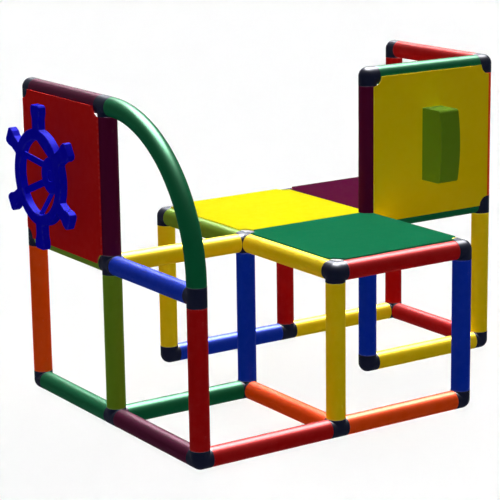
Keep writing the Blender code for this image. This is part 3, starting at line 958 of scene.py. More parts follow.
@dataclass
class Connectors(SubAssembly):
    """The dark hubs that the tubes plug onto, each in one moulding with its spigots."""

    first_number: int = 100
    steps: int = 16
    clearance: float = 0.0001
    sleeve_rows: int = 4
    sleeve_worn: float = 0.7
    spigot_radius: float = 0.0217
    spigot_bore: float = 0.0177
    spigot_lead: float = 0.0012
    spigot_worn: float = 0.3
    spigot_floor: float = 0.002
    straight_reach: float = 0.068
    bent_reach: float = 0.060

    @property
    def end(self) -> float:
        """Distance from the centre to the end of a sleeve."""
        return self.lattice.tube_end - self.clearance

    def build(self) -> None:
        """Build every connector, level by level."""
        number = self.first_number
        for level in Level:
            columns = UPPER_POSTS if level is Level.TOP else LOWER_POSTS
            for column in columns:
                x, y = column
                if level is Level.BASE:
                    name, node = f"connector_floor_{x}_{y}", f"leg_{x}_{y}"
                elif column in UPPER_POSTS:
                    name, node = f"connector_{level.name.lower()}_{x}_{y}", f"upright_{x}_{y}"
                else:
                    name, node = f"connector_platform_{x}_{y}", f"connector_{x}_{y}"
                solid = self.hub(self.arms(column, level))
                place = Matrix.Translation(self.lattice.point(column, level))
                self.add(name, solid, grain_shift(number), Hue.NAVY, CONNECTOR_FINISH, place, node)
                number += 1

    def arms(self, column: Column, level: Level) -> dict[Direction, float]:
        """The directions in which tubes leave a connector, each with its spigot's reach.

        Args:
            column: Column of the connector.
            level: Its level.

        Returns:
            Each direction's reach, in metres.
        """
        found: dict[Direction, float] = {}
        for start, end, _ in RAILS[level]:
            step = (end[0] - start[0], end[1] - start[1], 0)
            if start == column:
                found[step] = self.straight_reach
            if end == column:
                found[(-step[0], -step[1], 0)] = self.straight_reach
        if level is Level.BASE or (level is Level.PLATFORM and column in UPPER_POSTS):
            found[(0, 0, 1)] = self.straight_reach
        if level is not Level.BASE:
            found[(0, 0, -1)] = self.straight_reach
        if (column, level) == ((0, 0), Level.PLATFORM):
            found[(0, 0, 1)] = self.bent_reach
        if (column, level) == ((0, 1), Level.TOP):
            found[(0, -1, 0)] = self.bent_reach
        return found

    def hub(self, arms: dict[Direction, float]) -> Solid:
        """Shape one connector about its centre.

        Args:
            arms: The directions in which tubes leave it, each with its spigot's reach.

        Returns:
            The shape.
        """
        solid = Solid()
        for signs in ((x, y, z) for x in (1, -1) for y in (1, -1) for z in (1, -1)):
            axes = [Vector([signs[i] if i == k else 0 for i in range(3)]) for k in range(3)]
            held = [tuple(int(c) for c in axis) in arms for axis in axes]
            if any(held):
                self.sleeves(solid, axes, held)
            else:
                self.dome(solid, axes)
        for direction, reach in arms.items():
            self.spigot(solid, Vector(direction), reach)
        solid.merge()
        return solid

    def dome(self, solid: Solid, axes: Sequence[Vector]) -> None:
        """Add the eighth of a ball that closes a corner with no tube beside it.

        Args:
            solid: The shape to add to.
            axes: The corner's three directions.
        """
        a, b, c = axes
        rows = []
        for rise in quarter_turns(self.steps):
            row = []
            for turn in quarter_turns(self.steps):
                flat = cos(turn) * a + sin(turn) * b
                row.append(self.lattice.radius * (cos(rise) * flat + sin(rise) * c))
            rows.append(solid.ring(row))
        solid.bands(rows, closed=False)

    def sleeves(self, solid: Solid, axes: Sequence[Vector], held: Sequence[bool]) -> None:
        """Add the quarter sleeves of one corner, mitred where two tubes leave side by side.

        Args:
            solid: The shape to add to.
            axes: The corner's three directions.
            held: Whether a tube leaves along each.
        """
        radius, last = self.lattice.radius, self.sleeve_rows
        for k, (axis, here) in enumerate(zip(axes, held)):
            if not here:
                continue
            u, v = axes[(k + 1) % 3], axes[(k + 2) % 3]
            by_u, by_v = held[(k + 1) % 3], held[(k + 2) % 3]
            rows: list[list[Vector]] = [[] for _ in range(last + 1)]
            for turn in quarter_turns(self.steps):
                start = radius * max(cos(turn) if by_u else 0.0, sin(turn) if by_v else 0.0)
                round_axis = radius * (cos(turn) * u + sin(turn) * v)
                for i, row in enumerate(rows):
                    row.append(round_axis + axis * (start + (self.end - start) * i / last))
            rings = [solid.ring(row, self.sleeve_worn if i == last else 0.0) for i, row in enumerate(rows)]
            solid.bands(rings, closed=False)

    def spigot(self, solid: Solid, axis: Vector, reach: float) -> None:
        """Add the hollow spigot that plugs into a tube.

        Args:
            solid: The shape to add to.
            axis: Direction of the tube.
            reach: Distance from the centre to the spigot's end.
        """
        side = X_AXIS if axis.z else Z_AXIS
        stations = (
            (self.lattice.radius, self.end, self.sleeve_worn),
            (self.spigot_radius, self.end, 0.0),
            (self.spigot_radius, reach - self.spigot_lead, self.spigot_worn),
            (self.spigot_radius - self.spigot_lead, reach, self.spigot_worn),
            (self.spigot_bore, reach, 0.0),
            (self.spigot_bore, self.lattice.radius + self.spigot_floor, 0.0),
        )
        rings = []
        for radius, distance, worn in stations:
            points = ring_points(axis * distance, side, axis.cross(side), radius, 4 * self.steps)
            rings.append(solid.ring(points, worn))
        solid.bands(rings)
        solid.bm.faces.new(rings[-1])


@dataclass
class Tubes(SubAssembly):
    """The straight tubes, lying or standing, and the bent one."""

    sides: int = 64
    radius: float = 0.0247
    bore: float = 0.022
    bore_worn: float = 0.2
    rounding: float = 0.0003
    rounding_steps: int = 3
    end_strip: float = 0.006
    body_rows: int = 4
    bend_steps: int = 60
    bend_lead: float = 0.002
    socket: float = 0.037

    def build(self) -> None:
        """Build every tube."""
        runs = list(straight_runs())
        for number, run in enumerate(runs):
            place = self.lattice.middle(run) @ run.way.to_track_quat("Z", "Y").to_matrix().to_4x4()
            self.add(run.tube, self.straight(), grain_shift(number), run.hue, TUBE_FINISH, place, run.node)
        # Painted shade: the bent tube takes the darker, shaded copy of the green.
        place = Matrix.Translation(self.lattice.point((0, 0), Level.PLATFORM))
        self.add("tube_bent", self.bent(), grain_shift(len(runs)), Hue.BOTTLE, TUBE_FINISH, place, "arc_tube")

    def end_profile(self, sign: int, half: float) -> list[Station]:
        """The rounded end of a tube's outside, from its body to its end face."""
        edge = rounded_edge(self.radius, half, self.rounding, self.rounding_steps, worn=1.0)
        return [(radius, sign * height, worn) for radius, height, worn in edge]

    def straight(self) -> Solid:
        """A straight tube along Z, about its middle.

        Returns:
            The shape.
        """
        half = self.lattice.pitch / 2 - self.lattice.tube_end
        strip, rows = half - self.end_strip, self.body_rows
        heights = [-strip, *(row * half / rows for row in range(1 - rows, rows)), strip]
        profile = [(self.bore, -half, self.bore_worn), *self.end_profile(-1, half)[::-1]]
        profile += [(self.radius, height, 0.0) for height in heights]
        profile += [*self.end_profile(1, half), (self.bore, half, self.bore_worn)]
        return Solid().lathe(profile, self.sides, closed=True)

    def bent(self) -> Solid:
        """The quarter-circle tube, whose bore runs straight at both ends for the spigots.

        Returns:
            The shape, with its origin at the centre of its lower connector.
        """
        radius = self.lattice.pitch - self.lattice.tube_end
        centre = Vector((0, radius, self.lattice.tube_end))
        quarter, steps = pi / 2, self.bend_steps
        solid = Solid()

        def ring_at(turn: float, size: float, worn: float = 0.0) -> Ring:
            """A ring square to the bend, with its grain unrolled along the tube.

            Args:
                turn: How far round the bend, as an angle.
                size: The ring's radius.
                worn: How worn it is.

            Returns:
                The new vertices.
            """
            outward = Vector((0, -cos(turn), sin(turn)))
            points = ring_points(centre + radius * outward, X_AXIS, outward, size, self.sides)
            unrolled = ring_points(Vector((0, 0, radius * turn)), X_AXIS, Y_AXIS, size, self.sides)
            return solid.ring(points, worn, unrolled)

        rings = [ring_at(height / radius, size, worn) for size, height, worn in self.end_profile(-1, 0.0)[::-1]]
        rings += [ring_at(quarter * i / steps, self.radius) for i in range(1, steps)]
        rings += [ring_at(quarter + height / radius, size, worn) for size, height, worn in self.end_profile(1, 0.0)]
        top, foot = Vector((0, radius, self.lattice.pitch)), Vector((0, 0, self.lattice.tube_end))
        for distance in (0.0, self.socket):
            points = ring_points(top - distance * Y_AXIS, X_AXIS, Z_AXIS, self.bore, self.sides)
            rings.append(solid.ring(points))
        first = asin((self.socket + self.bend_lead) / radius)
        for i in range(steps // 2, -1, -1):
            rings.append(ring_at(first + (quarter - 2 * first) * i * 2 / steps, self.bore))
        for distance in (self.socket, 0.0):
            points = ring_points(foot + distance * Z_AXIS, X_AXIS, -Y_AXIS, self.bore, self.sides)
            rings.append(solid.ring(points))
        solid.skin(rings, closed=True)
        return solid


@dataclass
class LockScrews(SubAssembly):
    """The small screws that pin each tube to its spigots, one at each end."""

    head_radius: float = 0.0036
    proud_radius: float = 0.02498
    sunk_radius: float = 0.0238
    recess: float = 0.0005
    slot_half: float = 0.0006
    slot_reach: float = 0.0022
    slot_turn: float = 0.6
    from_centre: float = 0.060
    rings: int = 9
    sides: int = 40
    grain: tuple[float, float, float] = (0.2, 0.4, 0.6)

    def build(self) -> None:
        """Put a pair of screws in every straight tube: on top of those that lie, in front of those that stand."""
        for run in straight_runs():
            facing = -Y_AXIS if run.way.z else Z_AXIS
            turn = Matrix((run.way, facing.cross(run.way), facing)).transposed().to_4x4()
            place = self.lattice.middle(run) @ turn
            self.add(run.screws, self.pair(), Vector(self.grain), run.hue, SCREW_FINISH, place, run.node)

    def pair(self) -> Solid:
        """Two low heads on a tube that lies along X, at its top.

        Returns:
            The shape.
        """
        solid = Solid()
        angles = [2 * pi * i / self.sides for i in range(self.sides)]
        for sign in (-1, 1):
            along = sign * (self.lattice.pitch / 2 - self.from_centre)
            rows = []
            for i in range(1, self.rings + 1):
                reach = self.head_radius * i / self.rings
                row = [self.on_head(reach, angle, along, self.slot_turn * sign) for angle in angles]
                rows.append(solid.ring(row, 1.0 if i == self.rings else 0.0))
            centre = solid.bm.verts.new((along, 0, self.proud_radius - self.recess))
            for first, second in zip(rows[0], rows[0][1:] + rows[0][:1]):
                solid.bm.faces.new((centre, first, second))
            rows.append(solid.ring([Vector((vert.co.x, vert.co.y, self.sunk_radius)) for vert in rows[-1]]))
            solid.bands(rows)
            solid.bm.faces.new(rows[-1])
        return solid

    def on_head(self, reach: float, angle: float, along: float, turn: float) -> Vector:
        """A point on a screw's head, lower inside its cross-shaped recess.

        Args:
            reach: Distance from the head's middle.
            angle: Angle from one arm of the recess.
            along: Where the screw stands along the tube.
            turn: Angle of that arm from the tube's axis.

        Returns:
            The point.
        """
        across, ahead = reach * sin(angle + turn), reach * cos(angle + turn)
        aside = min(abs(reach * sin(angle)), abs(reach * cos(angle)))
        inside = aside < self.slot_half and reach < self.slot_reach
        height = sqrt(self.proud_radius**2 - across**2) - (self.recess if inside else 0.0)
        return Vector((along + ahead, across, height))


@dataclass
class Panels(SubAssembly):
    """Square plates that clip onto four tubes, and what all of them share."""

    back: float = 0.0253
    thickness: float = 0.004
    edge_gap: float = 0.0005
    notch_radius: float = 0.0265
    notch_steps: int = 14
    rounding: float = 0.0009
    back_rounding: float = 0.0005
    edge_margin: float = 0.0012
    hook_thickness: float = 0.0032
    hook_width: float = 0.040
    hook_start: float = radians(6)
    hook_stop: float = radians(135)
    hook_steps: int = 14
    tip_steps: int = 4
    hook_bevel: float = 0.0006
    hook_worn: float = 0.8
    rib_height: float = 0.012
    rib_half: float = 0.0019
    rib_reach: float = 0.167
    rib_rounding: float = 0.0007
    rib_edge: float = 0.0002

    @property
    def face(self) -> float:
        """Height of a plate's face over the tubes' axes."""
        return self.back + self.thickness

    def outline(self) -> list[Vector]:
        """The plate's outline, with a round notch for the connector at each corner.

        Returns:
            The outline, anticlockwise.
        """
        half, reach = self.lattice.pitch / 2 - self.edge_gap, self.notch_radius
        first = asin(self.edge_gap / reach)
        loop = []
        for quarter in range(4):
            turn = Matrix.Rotation(quarter * pi / 2, 2)
            for i in range(self.notch_steps + 1):
                angle = 3 * pi / 2 - first - (pi / 2 - 2 * first) * i / self.notch_steps
                corner = Vector((1, 1)) * self.lattice.pitch / 2
                point = corner + reach * Vector((cos(angle), sin(angle)))
                loop.append(turn @ Vector((min(point.x, half), min(point.y, half))))
        return loop

    def hook_profile(self) -> list[Vector]:
        """The section of a hook, as (distance from the tube's plane, height over its axis).

        Returns:
            The section, clockwise.
        """
        inner, outer, steps = self.back, self.back + self.hook_thickness, self.hook_steps
        start, stop, root = self.hook_start, self.hook_stop, acos(self.back / outer)
        sink = self.back + self.thickness / 2
        middle, tip_radius = (inner + outer) / 2, self.hook_thickness / 2

        def at(radius: float, turn: float) -> Vector:
            """A point at a distance from the tube's axis and an angle from its top."""
            return radius * Vector((sin(turn), cos(turn)))

        profile = [Vector((inner * sin(start), sink))]
        profile += [at(inner, start + (stop - start) * i / steps) for i in range(steps + 1)]
        for i in range(1, self.tip_steps):
            tip = pi * i / self.tip_steps
            profile.append(at(middle - cos(tip) * tip_radius, stop + sin(tip) * tip_radius / middle))
        profile += [at(outer, root + (stop - root) * i / steps) for i in range(steps, -1, -1)]
        profile.append(Vector((outer * sin(root), sink)))
        return profile

    def add_hooks(self, solid: Solid) -> None:
        """Add the four hooks that grip the tubes at a plate's two sides.

        Args:
            solid: The shape to add to.
        """
        pitch, profile, bevel = self.lattice.pitch, self.hook_profile()[::-1], self.hook_bevel
        half = self.hook_width / 2
        for side in (1, -1):
            for middle in (-pitch / 4, pitch / 4):
                rings = []
                for y, depth in ((-half, bevel), (bevel - half, 0.0), (half - bevel, 0.0), (half, bevel)):
                    loop = inset(profile, depth)
                    points = [Vector((side * (pitch / 2 - p.x), middle + y, p.y)) for p in loop]
                    rings.append(solid.ring(points, self.hook_worn if depth else 0.0))
                solid.skin(rings)

    def add_ribs(self, solid: Solid) -> None:
        """Add the cross of stiffening ribs under a platform.

        Args:
            solid: The shape to add to.
        """
        reach, half = self.rib_reach, self.rib_half
        cross = []
        for quarter in range(4):
            turn = Matrix.Rotation(quarter * pi / 2, 2)
            cross += [turn @ Vector(p) for p in ((reach, -half), (reach, half), (half, half))]
        low, high = self.back - self.rib_height, self.back + self.thickness / 2
        solid.slab([cross], low, high, self.rib_edge, self.rib_rounding, self.rib_edge)

    def plate(self, ribbed: bool) -> Solid:
        """A plate with its hooks, and with ribs if it is to be stood on.

        Args:
            ribbed: Whether it has ribs.

        Returns:
            The shape.
        """
        edges = self.rounding, self.back_rounding, self.edge_margin
        solid = Solid().slab([self.outline()], self.back, self.face, *edges)
        self.add_hooks(solid)
        if ribbed:
            self.add_ribs(solid)
        return solid


@dataclass
class Platforms(Panels):
    """The three platforms, side by side at platform height."""

    first_number: int = 200

    def build(self) -> None:
        """Build the platforms."""
        # Painted light: the front, middle and rear decks take the lighter copies of green, yellow and maroon, which
        # stand in for lit tops.
        platforms = (("front", (1, 0), Hue.GREEN), ("middle", (1, 1), Hue.LEMON), ("rear", (2, 1), Hue.MAROON))
        for number, (label, corner, hue) in enumerate(platforms, self.first_number):
            place, node = self.lattice.cell(corner, X_AXIS, Y_AXIS), f"platform_{label}"
            plate = self.plate(ribbed=True)
            self.add(f"deck_{label}", plate, grain_shift(number), hue, SHEET_FINISH, place, node)


@dataclass
class HelmWall(Panels):
    """The red wall with the ship's wheel, its axle bolt, spacer and nut.

    Heights of the wheel's parts are measured outwards from the wall's face.
    """

    wall_number: int = 210
    wheel_number: int = 220
    axle_number: int = 230
    ring_outer: float = 0.125
    ring_inner: float = 0.096
    ring_back: float = 0.0477
    ring_front: float = 0.0687
    ring_rounding: float = 0.0028
    ring_back_rounding: float = 0.0020
    ring_steps: int = 12
    handles: int = 6
    handle_half: float = 0.0175
    handle_shoulder: float = 0.150
    knob_base: float = 0.165
    knob_half: float = 0.023
    knob_chamfer: float = 0.006
    handle_tip: float = 0.186
    handle_fillets: tuple[float, ...] = (0.0035, 0.010, 0.006, 0.005, 0.005)
    hub_radius: float = 0.048
    hub_back: float = 0.0141
    hub_front: float = 0.0311
    hub_rounding: float = 0.0022
    hub_chamfer: float = 0.001
    hub_strip: float = 0.003
    hub_sides: int = 72
    chamfer_worn: float = 0.5
    recess_chamfer: float = 0.0003
    recess_strip: float = 0.001
    recess_worn: float = 0.4
    spoke_half: float = 0.0095
    spoke_thickness: float = 0.005
    spoke_drop: float = 0.007
    spoke_embed: float = 0.006
    spoke_bevel: float = 0.0013
    spoke_steps: int = 3
    spoke_worn: float = 0.3
    axle_radius: float = 0.008
    axle_bore: float = 0.0083
    axle_chamfer: float = 0.001
    axle_sides: int = 48
    cap_radius: float = 0.015
    cap_thickness: float = 0.0055
    cap_rounding: float = 0.0012
    cap_strip: float = 0.003
    spacer_radius: float = 0.020
    spacer_chamfer: float = 0.0008
    spacer_worn: float = 0.6
    nut_radius: float = 0.016
    nut_thickness: float = 0.010
    nut_fillet: float = 0.0018
    nut_rounding: float = 0.0004
    nut_back_rounding: float = 0.0009
    nut_sides: int = 40
    play: float = 0.0003

    @property
    def nut_top(self) -> float:
        """Height of the nut's side next to the wall."""
        return -self.thickness - self.play

    def build(self) -> None:
        """Build the wall, then everything on its axle."""
        back = self.lattice.cell((0, 2), -Y_AXIS, Z_AXIS)
        front = back @ Matrix.Translation((0, 0, self.face))
        blue, dark = (Hue.WHEEL_BLUE, WHEEL_FINISH), (Hue.NAVY, CONNECTOR_FINISH)
        wall, shift = self.plate(ribbed=False), grain_shift(self.wall_number)
        # Painted light: the wall takes a lighter copy of the tubes' red, to offset the shade on it.
        self.add("helm_wall", wall, shift, Hue.SCARLET, SHEET_FINISH, back, "helm_panel")
        wheel = ("wheel_ring", self.wheel_ring()), ("wheel_spokes", self.spokes()), ("wheel_hub", self.hub())
        for number, (name, solid) in enumerate(wheel, self.wheel_number):
            self.add(name, solid, grain_shift(number), *blue, front, "steering_wheel", Body.WHEEL)
        axle = (
            ("axle_bolt", self.bolt(), blue, "wheel_axle_bolt"),
            ("axle_spacer", self.spacer(), dark, "wheel_spacer"),
            ("axle_nut", self.nut(), dark, "wheel_lock_nut"),
        )
        for number, (name, solid, look, node) in enumerate(axle, self.axle_number):
            self.add(name, solid, grain_shift(number), *look, front, node)

    def handle_side(self, sign: int) -> list[tuple[Vector, float]]:
        """One side of a handle from the ring to its tip, with the radius of each corner.

        Args:
            sign: 1 for the right side, or -1 for the left.

        Returns:
            Each corner with the radius of its rounding.
        """
        half, knob, tip = self.handle_half, self.knob_half, self.handle_tip
        corners = (
            (half, sqrt(self.ring_outer**2 - half**2)),
            (half, self.handle_shoulder),
            (knob, self.knob_base),
            (knob, tip - self.knob_chamfer),
            (knob - self.knob_chamfer, tip),
        )
        return [(Vector((sign * x, y)), radius) for (x, y), radius in zip(corners, self.handle_fillets)]

    def wheel_outline(self) -> list[Vector]:
        """The outline of the ring with its handles, anticlockwise.

        Returns:
            The outline, rounded.
        """
        step = 2 * pi / self.handles
        half_turn = asin(self.handle_half / self.ring_outer)
        side = self.handle_side(1) + self.handle_side(-1)[::-1]
        corners: list[tuple[Vector, float]] = []
        for number in range(self.handles):
            turn = Matrix.Rotation(number * step, 2)
            corners += [(turn @ corner, radius) for corner, radius in side]
            for i in range(1, self.ring_steps):
                angle = number * step + half_turn + (step - 2 * half_turn) * i / self.ring_steps
                corners.append((self.ring_outer * Vector((-sin(angle), cos(angle))), 0.0))
        return fillet(corners)

    def wheel_ring(self) -> Solid:
        """The ring with its handles.

        Returns:
            The shape.
        """
        loops = [self.wheel_outline(), circle(self.ring_inner, self.hub_sides, -1)]
        edges = self.ring_rounding, self.ring_back_rounding, self.edge_margin
        return Solid().slab(loops, self.ring_back, self.ring_front, *edges)

    def spokes(self) -> Solid:
        """Flat bars with rounded edges that slope back from the ring to the hub.

        Returns:
            The shape.
        """
        solid = Solid()
        embed, bevel = self.spoke_embed, self.spoke_bevel
        at_rim, at_hub = self.ring_front - self.spoke_drop, self.hub_front - self.play
        slope = (at_rim - at_hub) / (self.ring_inner - self.hub_radius)
        half, thick, turns = self.spoke_half, self.spoke_thickness, quarter_turns(self.spoke_steps)
        section = []
        for x_sign, z_sign in ((1, 1), (-1, 1), (-1, -1), (1, -1)):
            centre = Vector((x_sign * (half - bevel), -thick / 2 + z_sign * (thick / 2 - bevel)))
            sweep = turns if x_sign == z_sign else turns[::-1]
            section += [centre + bevel * Vector((x_sign * cos(t), z_sign * sin(t))) for t in sweep]
        ends = (
            (self.hub_radius - embed, at_hub - slope * embed),
            (self.ring_inner + embed, at_rim + slope * embed),
        )
        for number in range(self.handles):
            turn = Matrix.Rotation(number * 2 * pi / self.handles, 4, "Z")
            rings = []
            for radius, rise in ends:
                points = [turn @ Vector((p.x, radius, rise + p.y)) for p in section]
                rings.append(solid.ring(points, self.spoke_worn))
            solid.skin(rings)
        return solid

    def hub(self) -> Solid:
        """The hub, with a running bore and a recess for the bolt's head.

        Returns:
            The shape.
        """
        bore, radius, low, high = self.axle_bore, self.hub_radius, self.hub_back, self.hub_front
        recess, head = high - self.cap_thickness - self.play, self.cap_radius + self.play
        profile = [
            (bore, low, 0.0),
            (radius - self.hub_chamfer, low, self.chamfer_worn),
            (radius, low + self.hub_chamfer, self.chamfer_worn),
            *rounded_edge(radius, high, self.hub_rounding, steps=5, worn=1.0),
            (radius - self.hub_rounding - self.hub_strip, high, 0.0),
            (head + self.recess_strip, high, 0.0),
            (head + self.recess_chamfer, high, self.recess_worn),
            (head, high - self.recess_chamfer, self.recess_worn),
            (head, recess, 0.0),
            (bore, recess, 0.0),
        ]
        return Solid().lathe(profile, self.hub_sides, closed=True)

    def bolt(self) -> Solid:
        """The bolt, from its end behind the nut to its head in the hub.

        Returns:
            The shape.
        """
        radius, chamfer, cap_back = self.axle_radius, self.axle_chamfer, self.hub_front - self.cap_thickness
        nut_low = self.nut_top - self.nut_thickness
        profile = [
            (radius - chamfer, nut_low - 2 * chamfer, self.chamfer_worn),
            (radius, nut_low - chamfer, self.chamfer_worn),
            (radius, cap_back, 0.0),
            (self.cap_radius, cap_back, 0.0),
            *rounded_edge(self.cap_radius, self.hub_front, self.cap_rounding, steps=4, worn=0.8),
            (self.cap_radius - self.cap_strip, self.hub_front, 0.0),
        ]
        return Solid().lathe(profile, self.axle_sides)

    def spacer(self) -> Solid:
        """The spacer between the wall and the hub.

        Returns:
            The shape.
        """
        bore, radius, edge = self.axle_bore, self.spacer_radius, self.spacer_chamfer
        low, high, worn = self.play, self.hub_back - self.play, self.spacer_worn
        profile = [(bore, low, 0.0), (radius - edge, low, worn), (radius, low + edge, worn)]
        profile += [(radius, high - edge, worn), (radius - edge, high, worn), (bore, high, 0.0)]
        return Solid().lathe(profile, self.axle_sides, closed=True)

    def nut(self) -> Solid:
        """The nut behind the wall.

        Returns:
            The shape.
        """
        hexagon = fillet([(point, self.nut_fillet) for point in circle(self.nut_radius, 6)])
        loops = [hexagon, circle(self.axle_bore, self.nut_sides, -1)]
        edges = self.nut_rounding, self.nut_back_rounding, self.nut_rounding
        return Solid().slab(loops, self.nut_top - self.nut_thickness, self.nut_top, *edges)


@dataclass
class BlockWall(Panels):
    """The yellow wall with the green play block, and the strip behind it that pins the block on."""

    first_number: int = 240
    block_half: float = 0.033
    block_height: float = 0.200
    block_depth: float = 0.076
    block_crown: float = 0.008
    block_corner: float = 0.010
    block_edge: float = 0.0016
    corner_steps: int = 8
    crown_steps: int = 28
    side_offset: float = -0.003
    lift: float = 0.001
    strip_half: float = 0.012
    strip_reach: float = 0.075
    strip_thickness: float = 0.003
    strip_fillet: float = 0.004
    strip_rounding: float = 0.0004
    strip_back_rounding: float = 0.0008
    strip_margin: float = 0.0005
    pin_radius: float = 0.004
    pin_depth: float = 0.025
    pin_sink: float = 0.0015
    pin_chamfer: float = 0.001
    pin_worn: float = 0.4
    pin_sides: int = 24
    pin_spread: float = 0.120
    play: float = 0.0003

    def build(self) -> None:
        """Build the wall, the block and the strip."""
        back = self.lattice.cell((2, 1), X_AXIS, Z_AXIS)
        front = back @ Matrix.Translation((self.side_offset, self.lift, self.face))
        parts = (
            # Painted shade: the block wall takes the darker, shaded copy of the yellow, as the tubes do.
            ("block_wall", self.plate(ribbed=False), Hue.YELLOW, SHEET_FINISH, back, "block_panel"),
            ("hand_block", self.block(), Hue.APPLE, SHEET_FINISH, front, "play_block"),
            ("pin_strip", self.strip(), Hue.GREY, CONNECTOR_FINISH, front, "block_fixing_strip"),
        )
        for number, (name, solid, *rest) in enumerate(parts, self.first_number):
            self.add(name, solid, grain_shift(number), *rest)

    def block_section(self) -> list[Vector]:
        """The block seen from its side, as (height, distance from the wall).

        Returns:
            The outline, anticlockwise.
        """
        half, depth, corner = self.block_height / 2, self.block_depth, self.block_corner
        flat, turns = half - corner, quarter_turns(self.corner_steps)
        section = [Vector((-half, self.play)), Vector((half, self.play))]
        section += [Vector((flat + corner * cos(t), depth - corner + corner * sin(t))) for t in turns]
        for i in range(1, self.crown_steps):
            at = flat - 2 * flat * i / self.crown_steps
            section.append(Vector((at, depth + self.block_crown * (1 - (at / flat) ** 2))))
        turns.reverse()
        section += [Vector((-flat - corner * cos(t), depth - corner + corner * sin(t))) for t in turns]
        return section

    def block(self) -> Solid:
        """The block, with its crowned front away from the wall.

        Returns:
            The shape.
        """
        turn = Matrix(((0, 0, 1, 0), (1, 0, 0, 0), (0, 1, 0, 0), (0, 0, 0, 1)))
        edge, half = self.block_edge, self.block_half
        return Solid().slab([self.block_section()], -half, half, edge, edge, self.edge_margin, turn)

    def strip(self) -> Solid:
        """The flat strip behind the wall, with its two pins.

        Returns:
            The shape.
        """
        high = -self.thickness - self.play
        low = high - self.strip_thickness
        x, y = self.strip_half, self.strip_reach
        outline = fillet([(Vector(p), self.strip_fillet) for p in ((x, -y), (x, y), (-x, y), (-x, -y))])
        edges = self.strip_rounding, self.strip_back_rounding, self.strip_margin
        solid = Solid().slab([outline], low, high, *edges)
        size, tip, chamfer, worn = self.pin_radius, self.pin_depth, self.pin_chamfer, self.pin_worn
        profile = ((size, low + self.pin_sink, 0.0), (size, tip - chamfer, worn), (size - chamfer, tip, worn))
        for sign in (-1, 1):
            place = Matrix.Translation((0, sign * self.pin_spread / 2, 0))
            solid.lathe(profile, self.pin_sides, place=place)
        return solid


@dataclass(frozen=True)
class Lamp:
    """A distant lamp, with its strength in watts per square metre of a surface that faces it."""

    name: str
    azimuth: float
    elevation: float
    strength: float
    size: float = 0.0
    shadow: bool = False
    diffuse: bool = True
    glossy: bool = True

    def hang(self, distance: float) -> None:
        """Hang the lamp at a distance from the tower's foot.

        Args:
            distance: How far off it hangs, in metres.
        """
        data = bpy.data.lights.new(self.name, "SUN")
        data.energy = self.strength
        data.angle = radians(self.size)
        data.use_shadow = self.shadow
        away = heading(self.azimuth, self.elevation)
        lamp = add_object(self.name, data)
        lamp.rotation_euler = away.to_track_quat("Z", "Y").to_euler()
        lamp.location = away * distance
        lamp.visible_diffuse = self.diffuse
        lamp.visible_glossy = self.glossy


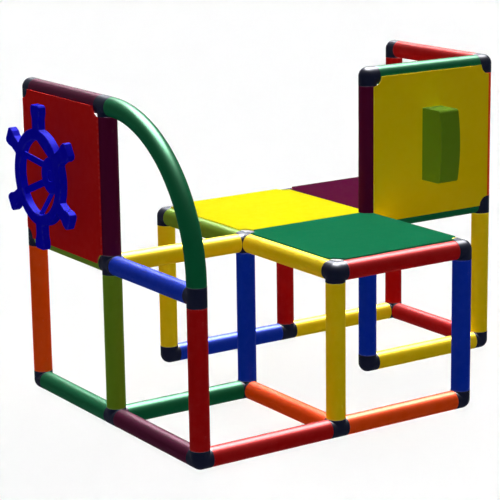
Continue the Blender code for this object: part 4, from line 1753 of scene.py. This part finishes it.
@dataclass
class Studio:
    """The floor, the light and the camera. Angles are in degrees and lengths in metres.

    A ring of weak lamps, high and low in turn, makes the even light in which one piece hardly darkens
    the next. Two more lamps show only as gloss.
    """

    floor_radius: float = 16.0
    floor_sides: int = 96
    ambient: float = 0.08
    bounce: float = 0.075
    floor_white: float = 0.98
    shade_depth: float = 0.5
    lamp_distance: float = 4.0
    lamps: tuple[Lamp, ...] = (
        Lamp("soft_key", azimuth=44.0, elevation=58.0, strength=0.45, size=30.0, shadow=True),
        Lamp("open_fill", azimuth=44.0, elevation=58.0, strength=2.40),
        Lamp("gloss_light", azimuth=44.0, elevation=66.0, strength=145.0, size=46.0, diffuse=False),
        Lamp("streak_light", azimuth=64.0, elevation=36.0, strength=7.2, size=24.0, diffuse=False),
    )
    veil_lamps: int = 16
    veil_elevation: float = 35.0
    veil_strength: float = 0.127
    camera_place: tuple[float, float, float] = (-2.8352, -4.0714, 1.5683)
    camera_azimuth: float = 56.583
    camera_fall: float = 13.457
    camera_roll: float = 0.822
    camera_range: float = 60.0
    focal_pixels: float = 1912.8

    def build(self) -> None:
        """Set the stage."""
        scene = bpy.context.scene
        scene.view_settings.view_transform = "Standard"
        self.add_floor()
        self.add_world()
        for lamp in (*self.lamps, *self.veil()):
            lamp.hang(self.lamp_distance)
        self.add_camera()

    def veil(self) -> Iterator[Lamp]:
        """The weak lamps round the tower.

        Returns:
            Each lamp.
        """
        for number in range(self.veil_lamps):
            rise = self.veil_elevation if number % 2 else -self.veil_elevation
            azimuth = number * 360 / self.veil_lamps
            yield Lamp(f"veil_{number}", azimuth, rise, self.veil_strength, glossy=False)

    @staticmethod
    def shown_or_else(t: NodeTable, shown: Node, other: Node) -> NodeSocket:
        """Choose a shader by how it is seen.

        Args:
            t: The nodes to add to.
            shown: The shader for rays from the camera, or by way of a reflection or glass.
            other: The shader for the rest.

        Returns:
            The mixed shader's output.
        """
        path = t.add("ShaderNodeLightPath").outputs
        either = t.plus(path["Is Camera Ray"], path["Is Glossy Ray"])
        seen = t.math("ADD", either, path["Is Transmission Ray"], clamp=True)
        return t.add("ShaderNodeMixShader", {0: seen, 1: other.outputs[0], 2: shown.outputs[0]}).outputs[0]

    def add_floor(self) -> None:
        """Lay a pale floor that keeps shadows but throws little light back up."""
        solid = Solid()
        solid.bm.faces.new(solid.ring(ring_points(Vector(), X_AXIS, Y_AXIS, self.floor_radius, self.floor_sides)))
        floor = add_object("floor", solid.finish("floor", Vector()))
        made = bpy.data.materials.new("floor_paint")
        made.use_nodes = True
        tree = made.node_tree
        tree.nodes.remove(tree.nodes["Principled BSDF"])
        t = NodeTable(tree)
        white, grey = (self.floor_white,) * 3 + (1,), (self.bounce,) * 3 + (1,)
        paint = t.add("ShaderNodeBsdfDiffuse", {"Color": white})
        glow = t.add("ShaderNodeEmission", {"Color": white, "Strength": 1.0})
        shown = t.add("ShaderNodeMixShader", {0: self.shade_depth, 1: glow.outputs[0], 2: paint.outputs[0]})
        thrown = t.add("ShaderNodeBsdfDiffuse", {"Color": grey})
        t.fill(tree.nodes["Material Output"], {"Surface": self.shown_or_else(t, shown, thrown)})
        floor.data.materials.append(made)

    def add_world(self) -> None:
        """Make the sky white where it is seen, and a weak even light elsewhere."""
        world = bpy.data.worlds.new("studio")
        world.use_nodes = True
        world.node_tree.nodes.clear()
        t = NodeTable(world.node_tree)
        shown = t.add("ShaderNodeBackground", {"Color": (1, 1, 1, 1), "Strength": 1.0})
        light = t.add("ShaderNodeBackground", {"Color": (1, 1, 1, 1), "Strength": self.ambient})
        t.add("ShaderNodeOutputWorld", {"Surface": self.shown_or_else(t, shown, light)})
        bpy.context.scene.world = world

    def add_camera(self) -> None:
        """Place the camera where the photograph was seen from."""
        data = bpy.data.cameras.new("camera")
        data.sensor_width = SENSOR_WIDTH
        data.lens = self.focal_pixels * SENSOR_WIDTH / IMAGE_SIDE
        data.clip_end = self.camera_range
        ahead, roll = heading(self.camera_azimuth, -self.camera_fall), radians(self.camera_roll)
        right = ahead.cross(Z_AXIS).normalized()
        down = ahead.cross(right).normalized()
        rolled = cos(roll) * right + sin(roll) * down
        sunk = cos(roll) * down - sin(roll) * right
        turned = Matrix((rolled, -sunk, -ahead)).transposed().to_4x4()
        camera = add_object("camera", data)
        camera.matrix_world = Matrix.Translation(self.camera_place) @ turned
        bpy.context.scene.camera = camera


def main() -> None:
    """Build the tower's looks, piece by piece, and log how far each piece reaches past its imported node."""
    logging.basicConfig(level=logging.INFO, format="%(message)s")
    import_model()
    lattice, shop = Lattice.from_frame(), PaintShop()
    Studio().build()
    for kind in (Connectors, Tubes, LockScrews, Platforms, HelmWall, BlockWall):
        LOG.info("building %s", kind.__name__)
        kind(lattice, shop).build()


if __name__ == "__main__":
    main()
